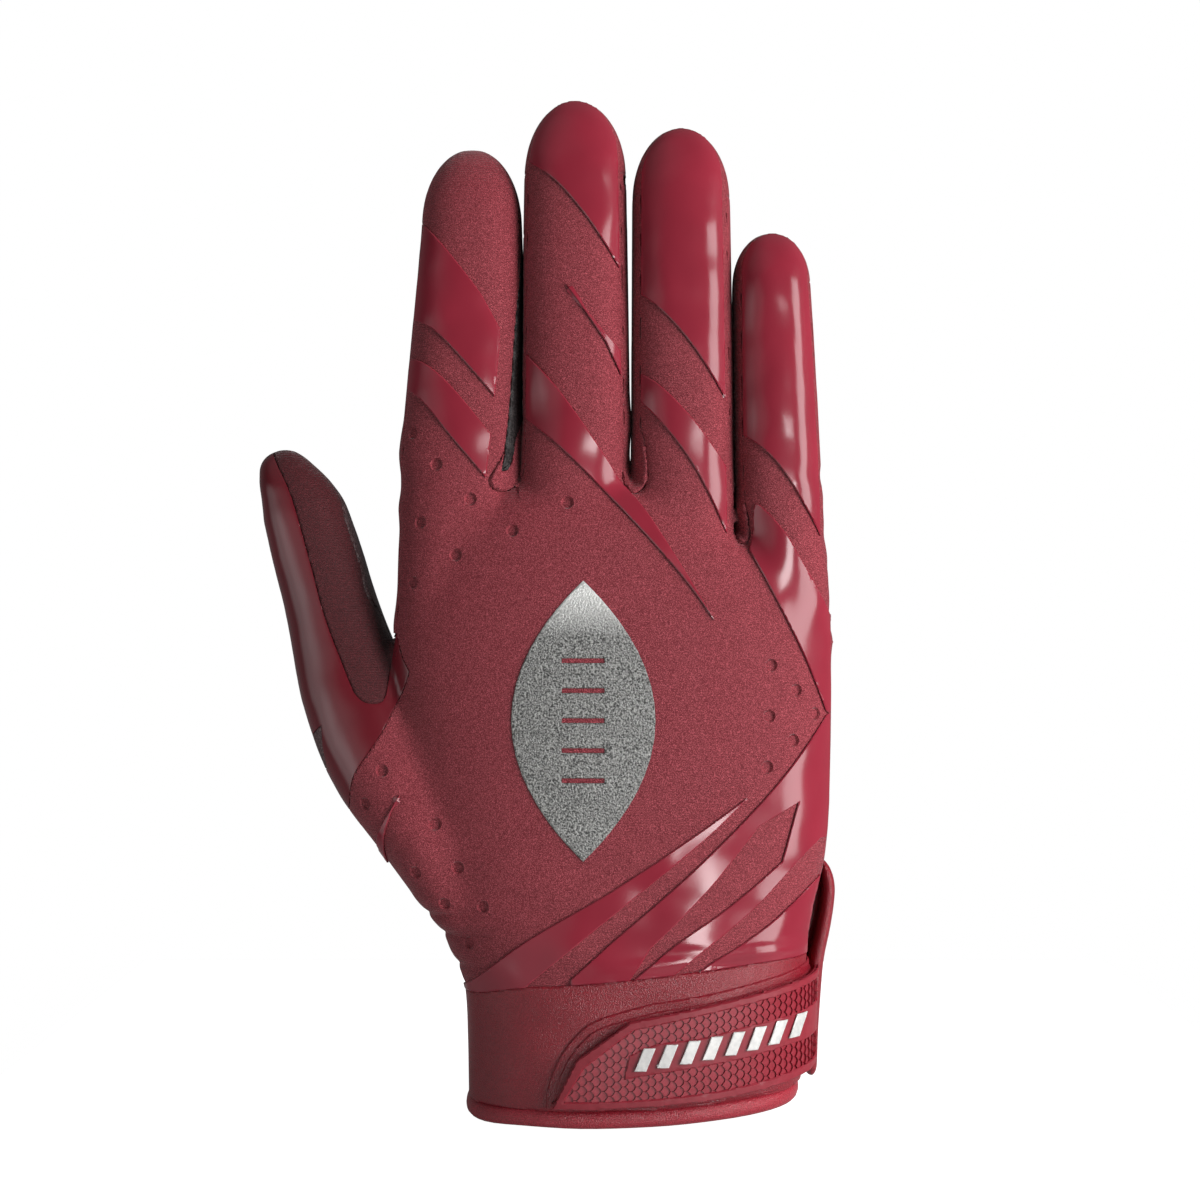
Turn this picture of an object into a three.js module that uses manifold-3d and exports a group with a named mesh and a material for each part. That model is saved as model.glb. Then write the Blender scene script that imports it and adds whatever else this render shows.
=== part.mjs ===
// A receiver's football glove for the right hand, in millimetres: fingers up along +Z, thumb towards -X,
// back of the hand towards -Y. The origin is the centre of the wrist opening.
import * as THREE from "three";
import { mergeVertices } from "three/addons/utils/BufferGeometryUtils.js";
import Module from "manifold-3d";

const wasm = await Module();
wasm.setup();

// Driving dimensions
const WALL = 1.5; // knitted back, fourchettes and palm
const GAP = 0.3; // between neighbouring pieces
const FILM = 0.8; // glossy overlays and the emblem
const FILM_INSET = 0.4; // how far inside the side seams a film ends
const FILM_BACK = -1.2; // and how far in front of the middle surface
const PATCH = 0.8; // loop patch under the strap
const STRAP = 1.8; // closing strap
const FLAP = 2.6; // folded edge beside the vent
const HEM_HEIGHT = 3.4;
const HEM_BULGE = 0.8; // outwards
const HEM_ROLL = 0.4; // and inwards
const CUFF_LEFT = 26.2; // height of the cuff seam at the thumb side
const CUFF_RIGHT = 34; // and at the little finger's side
const CUFF_HALF = 37.5;
const VENT_TOP = 51;
const VENT_ROUND = 5; // the slit narrows over this height
const VENT_BACK = -4.5; // the vent's two edges, in depth
const VENT_FRONT = -0.3;
const FLAP_REACH = 9; // how far the flap runs back from the vent
const THUMB_SPLIT = 3; // depth where the thumb's front pieces meet its palm side
const THUMB_SIDE_X = -54.7; // the thumb's inner side ends here, beside the hand
const SEAM_EDGE = 2.6; // and how far inside the hand's edge
const SIDE_DEPTH = 1.5; // the side walls end here, behind the fingers' middle, and the palm wraps the rest
const THUMB_CROTCH = 104.2;
const SEAM = 0.88; // where the side seams run, as a share of a finger's half width
const DIMPLE_RADIUS = 1.3;
const DIMPLE_DEPTH = 0.6;
const FAR = 130; // past the glove on every side
const FLOOR = -20; // below the glove
const CEILING = 240; // above the glove

// Facets and forms
const FINGER_SIDES = 14;
const PALM_SIDES = 28;
const DIMPLE_SIDES = 6;
const ROUNDNESS = 2.5; // 2 is an ellipse, more is squarer
const TIP_ANGLES = [0, 28, 50, 74];
const TIP_FLARE = 1.2; // the side seams open round a fingertip and pass above it
const TIP_CLEAR = 2;
const TAPER = 1.5; // a finger keeps its width low down and narrows more towards the tip
const MID_SHARE = 0.55; // where a finger has its one section between knuckle and tip
const LEAST_HALF_DEPTH = 0.4; // so that the thin top edge of the hand never turns inside out
const FLEX_START = 110; // the fingers bend towards the palm above this height
const FLEX = 0.00054;
const FLEX_LEVELS = [FLOOR, FLEX_START, 140, 165, 190, 215, CEILING];
const CROTCH_HEIGHT = 139.9; // the webs between the fingers lie on a curve across the hand
const CROTCH_SLOPE = -0.2153;
const CROTCH_BEND = -0.0093;
const CREASE_X = [38, 23.5, 11, 0, -12, -24, -36, -48];
const SIDE_PARTINGS = [-54.4, -37.8, -12.8, 11, 32.4, 60]; // the side walls part at the fingers' middles

// Fingers: where each axis starts and ends, its half widths, and the length of the round tip.
const FINGERS = {
  index: { tipX: -35.7, tipZ: 212.8, rootX: -39.8, tipHalfW: 11.3, rootHalfW: 12.9, cap: 18 },
  middle: { tipX: -12.7, tipZ: 223.6, rootX: -12.9, tipHalfW: 11.2, rootHalfW: 11.9, cap: 18 },
  ring: { tipX: 10.7, tipZ: 217.3, rootX: 11.4, tipHalfW: 10.9, rootHalfW: 11.3, cap: 17 },
  little: { tipX: 30.7, tipZ: 193.2, rootX: 34, tipHalfW: 8.4, rootHalfW: 9.5, cap: 11.5 },
};
const FINGER_ROOT = 100;
const FINGER_KNUCKLE = 128;
const TIP_HALF_DEPTH = 8.8;
const ROOT_HALF_DEPTH = 10;

// Hand and wrist: level sections. The upper ones follow the webs, by `bend`.
const HAND = [
  { z: -5, left: -37.3, right: 37.3, halfD: 22, bend: 0 },
  { z: 13, left: -36.9, right: 38.3, halfD: 21.5, bend: 0 },
  { z: 28, left: -37.8, right: 39.6, halfD: 20.3, bend: 0 },
  { z: 36, left: -41.6, right: 41, halfD: 19.3, bend: 0 },
  { z: 46, left: -45.5, right: 42.8, halfD: 18.1, bend: 0 },
  { z: 64, left: -49.5, right: 43.3, halfD: 16.8, bend: 0 },
  { z: 90, left: -52, right: 44, halfD: 15.6, bend: 0 },
  { z: 112, left: -53, right: 43.8, halfD: 14.4, bend: 0.35 },
  { z: 128, left: -53, right: 43, halfD: 12, bend: 0.8 },
  { z: 135, left: -52.6, right: 42, halfD: 9, bend: 1 },
  { z: 138.6, left: -52, right: 41, halfD: 5, bend: 1 },
  { z: CROTCH_HEIGHT, left: -51, right: 40, halfD: 1, bend: 1 },
];

// Thumb: sections square to its axis, from inside the wrist out to the tip.
const THUMB = [
  { x: -33, y: 1, z: 38, halfW: 6, halfD: 13 },
  { x: -38, y: 2, z: 46, halfW: 8, halfD: 15 },
  { x: -46, y: 3, z: 60, halfW: 10.2, halfD: 16 },
  { x: -55, y: 4.5, z: 76, halfW: 11.6, halfD: 14.5 },
  { x: -62.6, y: 5.5, z: 91.7, halfW: 11.8, halfD: 12.2 },
  { x: -66.2, y: 6.5, z: 103, halfW: 10.8, halfD: 10.6 },
  { x: -68.8, y: 7, z: 112, halfW: 10.1, halfD: 9.8 },
  { x: -71.2, y: 7, z: 121, halfW: 10, halfD: 9.4 },
  { x: -73.6, y: 6.5, z: 129, halfW: 9.6, halfD: 8.8 },
];
const THUMB_TIP = { x: -78.6, z: 145.4 };

// Outlines on the back, seen from the front, each as an upper and a lower edge that run left to right.
const OVERLAYS = {
  overlay_index_upper: {
    finger: "index",
    upper: [[-50, 199], [-42.5, 190.7], [-34.7, 180.8], [-25, 163.5]],
    lower: [[-52, 175], [-44.6, 171.7], [-36.7, 163.7], [-25, 150]],
  },
  overlay_index_lower: {
    finger: "index",
    upper: [[-53, 167], [-45, 163.2], [-36.7, 154.9], [-25, 139.5]],
    lower: [[-53, 160], [-46.8, 155.8], [-40.2, 147.8], [-25, 128.5]],
  },
  overlay_middle_tip: {
    finger: "middle",
    upper: [[-28, 230], [2, 230]],
    lower: [[-28, 213], [-17.8, 205.1], [-10.5, 196.6], [1, 179]],
  },
  overlay_middle_swoosh: {
    upper: [[-25.5, 167.8], [-16.2, 157.5], [-6.1, 143.1], [3.6, 129.9], [17.1, 108]],
    lower: [[-25.5, 153], [-16.1, 145.2], [-2.9, 131.9], [10, 117.4], [17.1, 107.6]],
  },
  overlay_ring_tip: {
    finger: "ring",
    upper: [[-3, 225], [25, 225]],
    lower: [[-3, 182], [4.5, 177], [13.6, 166.6], [24, 150]],
  },
  overlay_ring_band: {
    finger: "ring",
    upper: [[-3, 163.5], [4.4, 159.8], [13.6, 150.5], [24, 136]],
    lower: [[-3, 159.5], [5.1, 151.6], [14, 139.5], [24, 119]],
  },
  overlay_little_tip: {
    finger: "little",
    upper: [[21, 200], [46, 200]],
    lower: [[21, 150], [28.4, 144.8], [34.7, 136.9], [47, 116]],
  },
  overlay_wrist_upper: {
    upper: [[-44, 22.5], [-23.6, 38.8], [-4.6, 50], [11.8, 60.7], [24.2, 69.3]],
    lower: [[-44, 10], [-23.4, 29.3], [-1.9, 46.9], [14.4, 60], [24.2, 69]],
  },
};

// Films with outlines of their own: down the little finger's side, then along the cuff round a bare island.
const LITTLE_SIDE = [
  [23.8, 134.8], [28.7, 131.4], [36.1, 121.4], [43.5, 109], [50, 90], [42.4, 87.5], [37.3, 99.4],
  [31.6, 110.7], [23.8, 123.7],
];
const WRIST_LOWER = [
  [42.4, 86.5], [50, 80], [50, 60], [43, 60.2], [35.7, 55.4], [25.4, 45.4], [13.8, 36.6], [4, 29],
  [-14, 26], [-4.6, 39.4], [10.5, 52.1], [24.4, 65.2], [34, 75.6],
];
const BARE_ISLAND = [
  [28.4, 64.4], [36.5, 67.9], [32.5, 56.1], [19.9, 46], [8.9, 38.8], [-4.4, 31.2], [10.5, 44.6],
];
const WRIST_CORNER = [[43.1, 52.6], [38.8, 49.7], [28.2, 41.5], [17, 35.1], [4, 25], [50, 25], [50, 52.6]];
const MIDDLE_SLIVER = [[-14.9, 181.3], [-7.4, 171.8], [-2, 166.3], [-2, 160.5], [-6.1, 168.5]];
const THUMB_SLIVER = [[-50.8, 69.6], [-55.2, 62.4], [-56.6, 57.9], [-54.4, 53.5], [-54.6, 59.3], [-52.6, 65.8]];

// The thumb's back and the web down to the hand are one glossy piece. Its edge runs down the seam, round
// the saddle, and down the edge that it shares with the knitted back.
const THUMB_SEAM = [[-84, 150], [-79.6, 141.7], [-76, 134.4], [-72, 120.7], [-68.6, 108.4], [-63.3, 95.5]];
const THUMB_SADDLE = [[-59, 89.4], [-55, 89.7], [-53.7, 104.2]];
const WEB_EDGE = [[-49.5, 96], [-51.4, 92.1], [-56.1, 82.5], [-62.6, 72.9], [-63.7, 66], [-70, 60]];

const THUMB_PALM_EDGE = [
  [-FAR, 170], [-54.7, 170], [-54.7, 104], [-44, 92], [-40, 78], [-46, 64], [-60, 56], [-FAR, 56],
];

const EMBLEM = { x: -11, z: 86, halfW: 15.5, halfH: 30, steps: 12 };
const LACES = { count: 5, pitch: 6.4, halfW: 4.6, halfH: 1 };
const PATCH_EDGE = [
  [-19.2, 3.8], [-18.4, 9.4], [-11.6, 20.9], [-1.9, 25.4], [17, 28.5], [40, 31], [60, 31], [60, 3.8],
];
const STRAP_EDGE = [
  [-17.5, 4.2], [-12.3, 15.5], [-0.9, 23.3], [11.6, 25.7], [34.1, 29.3], [60, 30], [60, 8.5], [28, 7.8], [6, 5],
];

// Outlines seen from the little finger's side, as depth and height
const VENT = [
  [VENT_BACK, FLOOR], [VENT_FRONT, FLOOR], [VENT_FRONT, VENT_TOP - VENT_ROUND], [-2, VENT_TOP],
  [VENT_BACK, VENT_TOP - VENT_ROUND],
];
const FLAP_EDGE = [
  [VENT_FRONT, 4.5], [FLAP_REACH, 4.5], [FLAP_REACH, 38], [FLAP_REACH / 2, 53], [VENT_FRONT, 53],
];

const DIMPLES = [
  [-48.6, 148.6], [-43.2, 141.5], [-35.7, 133.8], [-46.7, 128.8], [-38.8, 121.6], [-48.3, 115.7], [-26.4, 126.9],
  [-14.5, 133], [29.6, 97.7], [35.2, 92.2], [29.1, 86.7], [34.5, 81.4], [28.6, 75.8], [-54.8, 74.7],
  [-43.1, 63.3], [-47.4, 52.8], [-38.1, 54.1], [-41, 46.2], [-32.6, 46], [-35.8, 37.7],
];

const crotchAt = (x) => CROTCH_HEIGHT + CROTCH_SLOPE * x + CROTCH_BEND * x * x;
const flexAt = (z) => FLEX * Math.max(0, z - FLEX_START) ** 2;
const mix = THREE.MathUtils.lerp;

// Points of one rounded section about its centre: `wide` is the direction of its width.
function ring({ x, y, z, halfW, halfD, wide = [1, 0], sides, power = ROUNDNESS }) {
  return Array.from({ length: sides }, (_, i) => {
    const angle = (i / sides) * 2 * Math.PI;
    const across = Math.sign(Math.cos(angle)) * Math.abs(Math.cos(angle)) ** (2 / power) * halfW;
    const deep = Math.sign(Math.sin(angle)) * Math.abs(Math.sin(angle)) ** (2 / power) * halfD;
    return [x + wide[0] * across, y + deep, z + wide[1] * across];
  });
}

function solidOf(geometry) {
  const bare = new THREE.BufferGeometry();
  bare.setAttribute("position", geometry.getAttribute("position"));
  bare.setIndex(geometry.getIndex());
  const merged = mergeVertices(bare, 1e-4);
  const mesh = { numProp: 3, vertProperties: merged.attributes.position.array };
  return new wasm.Manifold(new wasm.Mesh({ ...mesh, triVerts: new Uint32Array(merged.index.array) }));
}

// A closed solid through rings that run upwards. Both ends close straight across, front to back.
function loft(rings) {
  const count = rings[0].length;
  const top = (rings.length - 1) * count;
  const faces = [];
  for (let row = 0; row < top; row += count) {
    for (let i = 0; i < count; i++) {
      const a = row + i;
      const b = row + ((i + 1) % count);
      faces.push(a, b, b + count, a, b + count, a + count);
    }
  }
  for (let i = 0; i < count / 2; i++) {
    const near = [i, i + 1];
    const far = [count - i - 1, (count - i) % count];
    if (near[1] !== far[0]) {
      faces.push(top + near[0], top + near[1], top + far[0], near[0], far[0], near[1]);
    }
    if (near[0] !== far[1]) {
      faces.push(top + near[0], top + far[0], top + far[1], near[0], far[1], far[0]);
    }
  }
  const geometry = new THREE.BufferGeometry();
  geometry.setAttribute("position", new THREE.Float32BufferAttribute(rings.flat(2), 3));
  geometry.setIndex(faces);
  return solidOf(geometry);
}

const joined = (solids) => solids.reduce((all, next) => all.add(next));

// A column of the outline's shape that runs through the glove from front to back.
function column(outline) {
  const shape = new THREE.Shape(outline.map(([x, z]) => new THREE.Vector2(x, z)));
  const geometry = new THREE.ExtrudeGeometry(shape, { depth: 2 * FAR, bevelEnabled: false });
  geometry.rotateX(Math.PI / 2).translate(0, FAR, 0);
  return solidOf(geometry);
}

// A smooth edge through the points, with one more point between each two.
function smoothEdge(points) {
  const curve = new THREE.SplineCurve(points.map(([x, z]) => new THREE.Vector2(x, z)));
  return curve.getPoints(2 * points.length - 2).map((p) => [p.x, p.y]);
}

// Sections of a finger, grown by `grow` on every side.
function fingerSections(finger, grow) {
  const { tipX, tipZ, rootX, tipHalfW, rootHalfW, cap } = finger;
  const capZ = tipZ - cap;
  const at = (z) => {
    const share = THREE.MathUtils.clamp((z - FINGER_KNUCKLE) / (capZ - FINGER_KNUCKLE), 0, 1);
    const halfW = mix(rootHalfW, tipHalfW, share ** TAPER) + grow;
    const halfD = mix(ROOT_HALF_DEPTH, TIP_HALF_DEPTH, share) + grow;
    return { x: mix(rootX, tipX, share), y: flexAt(z), z, halfW, halfD };
  };
  const straight = [FINGER_ROOT, FINGER_KNUCKLE, mix(FINGER_KNUCKLE, capZ, MID_SHARE)];
  const rounded = TIP_ANGLES.map((degrees) => {
    const angle = THREE.MathUtils.degToRad(degrees);
    const z = capZ + (cap + grow) * Math.sin(angle);
    const base = at(capZ);
    return { ...at(z), halfW: base.halfW * Math.cos(angle), halfD: base.halfD * Math.cos(angle) };
  });
  return [...straight.map(at), ...rounded];
}

// Sections of the hand. The upper ones rise and fall with the webs, by where their points lie before they grow.
function handRings(grow) {
  return HAND.map(({ z, left, right, halfD, bend }) => {
    const [x, halfW] = [(left + right) / 2, (right - left) / 2];
    const grown = { halfW: halfW + grow, halfD: Math.max(halfD + grow, LEAST_HALF_DEPTH) };
    const level = ring({ x, y: flexAt(z), z, ...grown, sides: PALM_SIDES });
    return level.map(([px, py]) => {
      const plainX = x + ((px - x) * halfW) / (halfW + grow);
      return [px, py, z + bend * (grow + crotchAt(plainX) - CROTCH_HEIGHT)];
    });
  });
}

function thumbSections(grow) {
  const sections = THUMB.map((row, i) => {
    const [before, after] = [THUMB[i - 1] ?? row, THUMB[i + 1] ?? THUMB_TIP];
    const axis = new THREE.Vector2(after.x - before.x, after.z - before.z).normalize();
    return { ...row, halfW: row.halfW + grow, halfD: row.halfD + grow, wide: [axis.y, -axis.x] };
  });
  const last = sections[sections.length - 1];
  const reach = new THREE.Vector2(THUMB_TIP.x - last.x, THUMB_TIP.z - last.z);
  const length = 1 + grow / reach.length();
  const rounded = TIP_ANGLES.slice(1).map((degrees) => {
    const angle = THREE.MathUtils.degToRad(degrees);
    const along = length * Math.sin(angle);
    const size = { halfW: last.halfW * Math.cos(angle), halfD: last.halfD * Math.cos(angle) };
    return { ...last, ...size, x: last.x + reach.x * along, z: last.z + reach.y * along };
  });
  return [...sections, ...rounded];
}

// The whole glove as one filled form, grown or shrunk by `grow`.
function filled(grow) {
  const fingers = Object.values(FINGERS).map((finger) => fingerSections(finger, grow));
  const tubes = [...fingers, thumbSections(grow)];
  const rounds = tubes.map((sections) => loft(sections.map((s) => ring({ ...s, sides: FINGER_SIDES }))));
  return joined([loft(handRings(grow)), ...rounds]);
}

// One level, four-cornered section between two depths.
function slab(x, z, halfW, [near, far] = [-FAR, FAR]) {
  return [[x + halfW, near, z], [x + halfW, far, z], [x - halfW, far, z], [x - halfW, near, z]];
}

// The part of space in front of the fingers' bent middle surface, moved back by `shift`.
function frontOf(shift) {
  return loft(FLEX_LEVELS.map((z) => slab(0, z, FAR, [-FAR, flexAt(z) + shift])));
}

// What one finger's side seams enclose, seen from the front, narrowed by `inset`. Round the tip it passes them.
function fingerWithinSeams(finger, inset) {
  const sections = fingerSections(finger, 0).slice(0, 1 - TIP_ANGLES.length);
  const top = sections[sections.length - 1];
  const rows = sections.map(({ x, z, halfW }) => slab(x, z, halfW * SEAM - inset));
  return loft([...rows, slab(top.x, finger.tipZ + TIP_CLEAR, top.halfW * TIP_FLARE)]);
}

// The same for the whole back: the hand's edge, the webs between the fingers, and no seam below the thumb.
function withinSeams(inset) {
  const edge = SEAM_EDGE + inset;
  const rows = HAND.filter(({ bend }) => bend < 0.5);
  const top = rows[rows.length - 1];
  const right = rows.map(({ z, right: x }) => [x - edge, z]);
  const webs = CREASE_X.map((x) => [x, crotchAt(x) - SEAM_EDGE - inset]);
  const left = [[top.left + edge, THUMB_CROTCH], [-FAR, THUMB_CROTCH], [-FAR, rows[0].z]];
  const handPart = column([...right, ...webs, ...left]);
  return joined([handPart, ...Object.values(FINGERS).map((finger) => fingerWithinSeams(finger, inset))]);
}

// What lies above or below the slanting seam between hand and cuff.
const cuffSeam = (x) => mix(CUFF_LEFT, CUFF_RIGHT, (x + CUFF_HALF) / (2 * CUFF_HALF));
const beyondCuffSeam = (shift, end) =>
  column([[-FAR, cuffSeam(-FAR) + shift], [FAR, cuffSeam(FAR) + shift], [FAR, end], [-FAR, end]]);

// A column of that shape through the little finger's half of the glove, seen from that side.
function sideColumn(outline) {
  const shape = new THREE.Shape(outline.map(([y, z]) => new THREE.Vector2(y, z)));
  const geometry = new THREE.ExtrudeGeometry(shape, { depth: FAR, bevelEnabled: false });
  geometry.rotateX(Math.PI / 2).rotateZ(Math.PI / 2);
  return solidOf(geometry);
}

const wrist = (grow) => loft(handRings(grow));
const layer = (from, thick) => filled(from + thick).subtract(filled(from));
const cuffLayer = (from, thick) => wrist(from + thick).subtract(wrist(from));
const moved = (outline, [x, z]) => outline.map((p) => [p[0] + x, p[1] + z]);
const CORNERS = [[1, 1], [1, -1], [-1, 1], [-1, -1]];
const around = (outline) => joined(CORNERS.map(([x, z]) => column(moved(outline, [x * GAP, z * GAP]))));
const between = (low, high) => column([[-FAR, low], [FAR, low], [FAR, high], [-FAR, high]]);

const group = new THREE.Group();
const FINISHES = {
  knit: { color: 0x943d46, roughness: 0.85, metalness: 0 },
  gloss: { color: 0xa03045, roughness: 0.18, metalness: 0 },
  tack: { color: 0x2e2727, roughness: 0.5, metalness: 0 },
  pebble: { color: 0x7a3a42, roughness: 0.6, metalness: 0 },
  silver: { color: 0xb4b3b0, roughness: 0.4, metalness: 0.7 },
};

// A cut can leave a crumb beside a thin edge, so a node keeps its one main body.
function add(name, finish, made) {
  const [main] = made.decompose().sort((a, b) => b.volume() - a.volume());
  const { vertProperties, triVerts } = main.getMesh();
  const geometry = new THREE.BufferGeometry();
  geometry.setAttribute("position", new THREE.BufferAttribute(new Float32Array(vertProperties), 3));
  geometry.setIndex(new THREE.BufferAttribute(new Uint32Array(triVerts), 1));
  geometry.computeVertexNormals();
  const mesh = new THREE.Mesh(geometry, new THREE.MeshStandardMaterial(FINISHES[finish]));
  mesh.name = name;
  group.add(mesh);
}

// The hand's walls, open at the wrist and slit at the little finger's side
const outer = filled(0);
const shell = outer.subtract(filled(-WALL));
const vent = sideColumn(VENT);
const aboveCuff = beyondCuffSeam(GAP / 2, 2 * FAR);
const hand = shell.intersect(aboveCuff).subtract(vent);
const seams = withinSeams(0);

// Thumb: glossy back and web, knitted inner side, tacky palm side
const thumbBackOutline = [...THUMB_SEAM, ...THUMB_SADDLE, ...WEB_EDGE, [-FAR, 60], [-FAR, 150]];
const thumbSideOutline = [...THUMB_SEAM, ...THUMB_SADDLE, [THUMB_SIDE_X, 108], [THUMB_SIDE_X, 170], [-84, 170]];
const thumbFront = frontOf(THUMB_SPLIT - GAP / 2);
const thumbRear = frontOf(THUMB_SPLIT + GAP / 2);
const thumbPalm = column(THUMB_PALM_EDGE);
add("thumb_back", "gloss", hand.intersect(column(thumbBackOutline)).intersect(thumbFront));
const thumbSide = column(thumbSideOutline).subtract(around(thumbBackOutline));
add("thumb_side", "knit", hand.intersect(thumbSide).intersect(thumbFront));
add("thumb_palm", "tack", hand.intersect(thumbPalm).subtract(thumbRear));

// Back of the hand with its perforations, and the palm
const ownedByThumb = around(thumbBackOutline).add(around(thumbSideOutline));
const rods = DIMPLES.map(([x, z]) => {
  const rod = new THREE.CylinderGeometry(DIMPLE_RADIUS, DIMPLE_RADIUS, FAR, DIMPLE_SIDES);
  return solidOf(rod.translate(x, -FAR / 2, z));
});
const dimples = joined(rods).subtract(filled(-DIMPLE_DEPTH));
const backWall = hand.intersect(seams).intersect(frontOf(-GAP / 2)).subtract(ownedByThumb);
add("back_panel", "knit", backWall.subtract(dimples));
const besideSeams = frontOf(SIDE_DEPTH + GAP).subtract(seams);
const palmWall = hand.subtract(frontOf(GAP / 2)).subtract(besideSeams);
const besideThumb = ownedByThumb.intersect(frontOf(THUMB_SPLIT + 2 * GAP));
add("palm_panel", "tack", palmWall.subtract(besideThumb).subtract(around(THUMB_PALM_EDGE)));

// Side walls: what the back and the palm leave, parted at the fingers' middles
const sides = hand.subtract(withinSeams(-GAP)).intersect(frontOf(SIDE_DEPTH));
const SIDE_NAMES = [
  "side_panel_index",
  "fourchette_index_middle",
  "fourchette_middle_ring",
  "fourchette_ring_little",
  "side_panel_little",
];
SIDE_NAMES.forEach((name, i) => {
  const low = i === 0 ? THUMB_CROTCH + GAP : FLOOR;
  const [left, right] = SIDE_PARTINGS.slice(i, i + 2);
  const strip = column([[left, low], [right, low], [right, CEILING], [left, CEILING]]);
  add(name, "knit", sides.intersect(strip));
});

// Glossy overlays
const film = layer(GAP, FILM).intersect(frontOf(FILM_BACK));
const handFilm = film.intersect(withinSeams(FILM_INSET)).intersect(aboveCuff);
for (const [name, { finger, upper, lower }] of Object.entries(OVERLAYS)) {
  const outline = [...smoothEdge(upper), ...smoothEdge(lower).reverse()];
  const cover = finger ? film.intersect(fingerWithinSeams(FINGERS[finger], FILM_INSET)) : handFilm;
  add(name, "gloss", cover.intersect(column(outline)));
}
add("overlay_little_side", "gloss", handFilm.intersect(column(LITTLE_SIDE)));
add("overlay_wrist_lower", "gloss", handFilm.intersect(column(WRIST_LOWER)).subtract(column(BARE_ISLAND)));
add("overlay_wrist_corner", "gloss", handFilm.intersect(column(WRIST_CORNER)));
add("overlay_middle_sliver", "gloss", handFilm.intersect(column(MIDDLE_SLIVER)));
add("overlay_thumb_sliver", "gloss", handFilm.intersect(column(THUMB_SLIVER)));

// Emblem: a plain ball outline with lace slots
const emblemEdge = [...Array(EMBLEM.steps + 1).keys()].map((i) => {
  const along = (2 * i) / EMBLEM.steps - 1;
  return [EMBLEM.x + EMBLEM.halfW * (1 - along ** 2), EMBLEM.z + EMBLEM.halfH * along];
});
const mirrored = emblemEdge.slice(1, -1).map(([x, z]) => [2 * EMBLEM.x - x, z]);
const laces = [...Array(LACES.count).keys()].map((i) => {
  const z = EMBLEM.z + (i - (LACES.count - 1) / 2) * LACES.pitch;
  const { halfW, halfH } = LACES;
  const x = EMBLEM.x;
  return column([[x - halfW, z - halfH], [x + halfW, z - halfH], [x + halfW, z + halfH], [x - halfW, z + halfH]]);
});
const plate = column([...emblemEdge, ...mirrored.reverse()]).subtract(joined(laces));
add("emblem", "silver", film.intersect(plate));

// Wrist: band, rolled hem, loop patch, strap and the folded edge beside the vent
const band = cuffLayer(-WALL, WALL).intersect(beyondCuffSeam(-GAP / 2, -FAR));
add("cuff_band", "pebble", band.intersect(between(HEM_HEIGHT + GAP, FAR)).subtract(vent));
const hem = cuffLayer(-WALL - HEM_ROLL, WALL + HEM_ROLL + HEM_BULGE).intersect(between(0, HEM_HEIGHT));
add("cuff_hem", "pebble", hem.subtract(vent));
const patchFace = cuffLayer(GAP, PATCH).intersect(column(PATCH_EDGE));
add("loop_patch", "pebble", patchFace.intersect(frontOf(VENT_BACK)));
const strapFace = cuffLayer(2 * GAP + PATCH, STRAP).intersect(column(STRAP_EDGE));
add("strap", "pebble", strapFace.intersect(frontOf(VENT_FRONT - GAP)));
add("vent_flap", "pebble", layer(GAP, FLAP).intersect(sideColumn(FLAP_EDGE)));

export default group;
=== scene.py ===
import bpy
import math
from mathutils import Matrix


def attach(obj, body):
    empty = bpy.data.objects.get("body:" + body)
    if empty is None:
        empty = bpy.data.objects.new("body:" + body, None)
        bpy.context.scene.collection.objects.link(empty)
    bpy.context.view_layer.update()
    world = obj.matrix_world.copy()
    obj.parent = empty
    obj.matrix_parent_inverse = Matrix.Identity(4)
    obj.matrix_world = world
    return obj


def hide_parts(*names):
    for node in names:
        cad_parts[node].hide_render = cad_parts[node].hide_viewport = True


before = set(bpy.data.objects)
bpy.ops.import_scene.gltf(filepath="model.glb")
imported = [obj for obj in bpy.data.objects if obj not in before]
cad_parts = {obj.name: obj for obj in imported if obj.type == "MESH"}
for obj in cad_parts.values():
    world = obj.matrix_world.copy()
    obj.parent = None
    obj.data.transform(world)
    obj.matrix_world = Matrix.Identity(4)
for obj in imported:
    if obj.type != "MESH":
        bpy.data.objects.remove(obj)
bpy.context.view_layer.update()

MM = 0.001
# Fingers. Taper: how late the finger narrows. Apart: how far it moves aside while the form is made. Back: how
# far it lies behind the others. Seams: how far out they run, as a share of the half width. Film: how far films
# stay from the silhouette, left and right. Flat_from: where its back begins to run flat into the hand.
FINGERS = {
    "index": {"tip_x": -36.4, "tip_z": 214.4, "root_x": -38.9, "tip_width": 11.4, "root_width": 13.9,
              "cap": 18, "taper": 2.2, "apart": -6, "back": 1.2, "seams": (0.93, 0.93), "film": (1, 4.8),
              "film_narrows": 0.085, "flat_from": 122, "flat_right": 1},
    "middle": {"tip_x": -13, "tip_z": 225.4, "root_x": -12.8, "tip_width": 11.6, "root_width": 12.4,
               "cap": 18, "taper": 1.5, "apart": -2, "back": 0, "seams": (0.91, 0.89), "film": (1.2, 1.9),
               "film_narrows": 0, "flat_from": 122, "flat_right": 1},
    "ring": {"tip_x": 10.9, "tip_z": 219, "root_x": 11.1, "tip_width": 11.1, "root_width": 11.6,
             "cap": 17, "taper": 1.5, "apart": 2, "back": 0, "seams": (0.84, 0.9), "film": (1.9, 2.2),
             "film_narrows": 0, "flat_from": 122, "flat_right": 1},
    "little": {"tip_x": 31.2, "tip_z": 194.8, "root_x": 32.6, "tip_width": 8.8, "root_width": 9.9,
               "cap": 12, "taper": 1.5, "apart": 6, "back": 1, "seams": (0.84, 0.93), "film": (1.6, 1.2),
               "film_narrows": 0, "flat_from": 101, "flat_right": 0.6},
}
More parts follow.
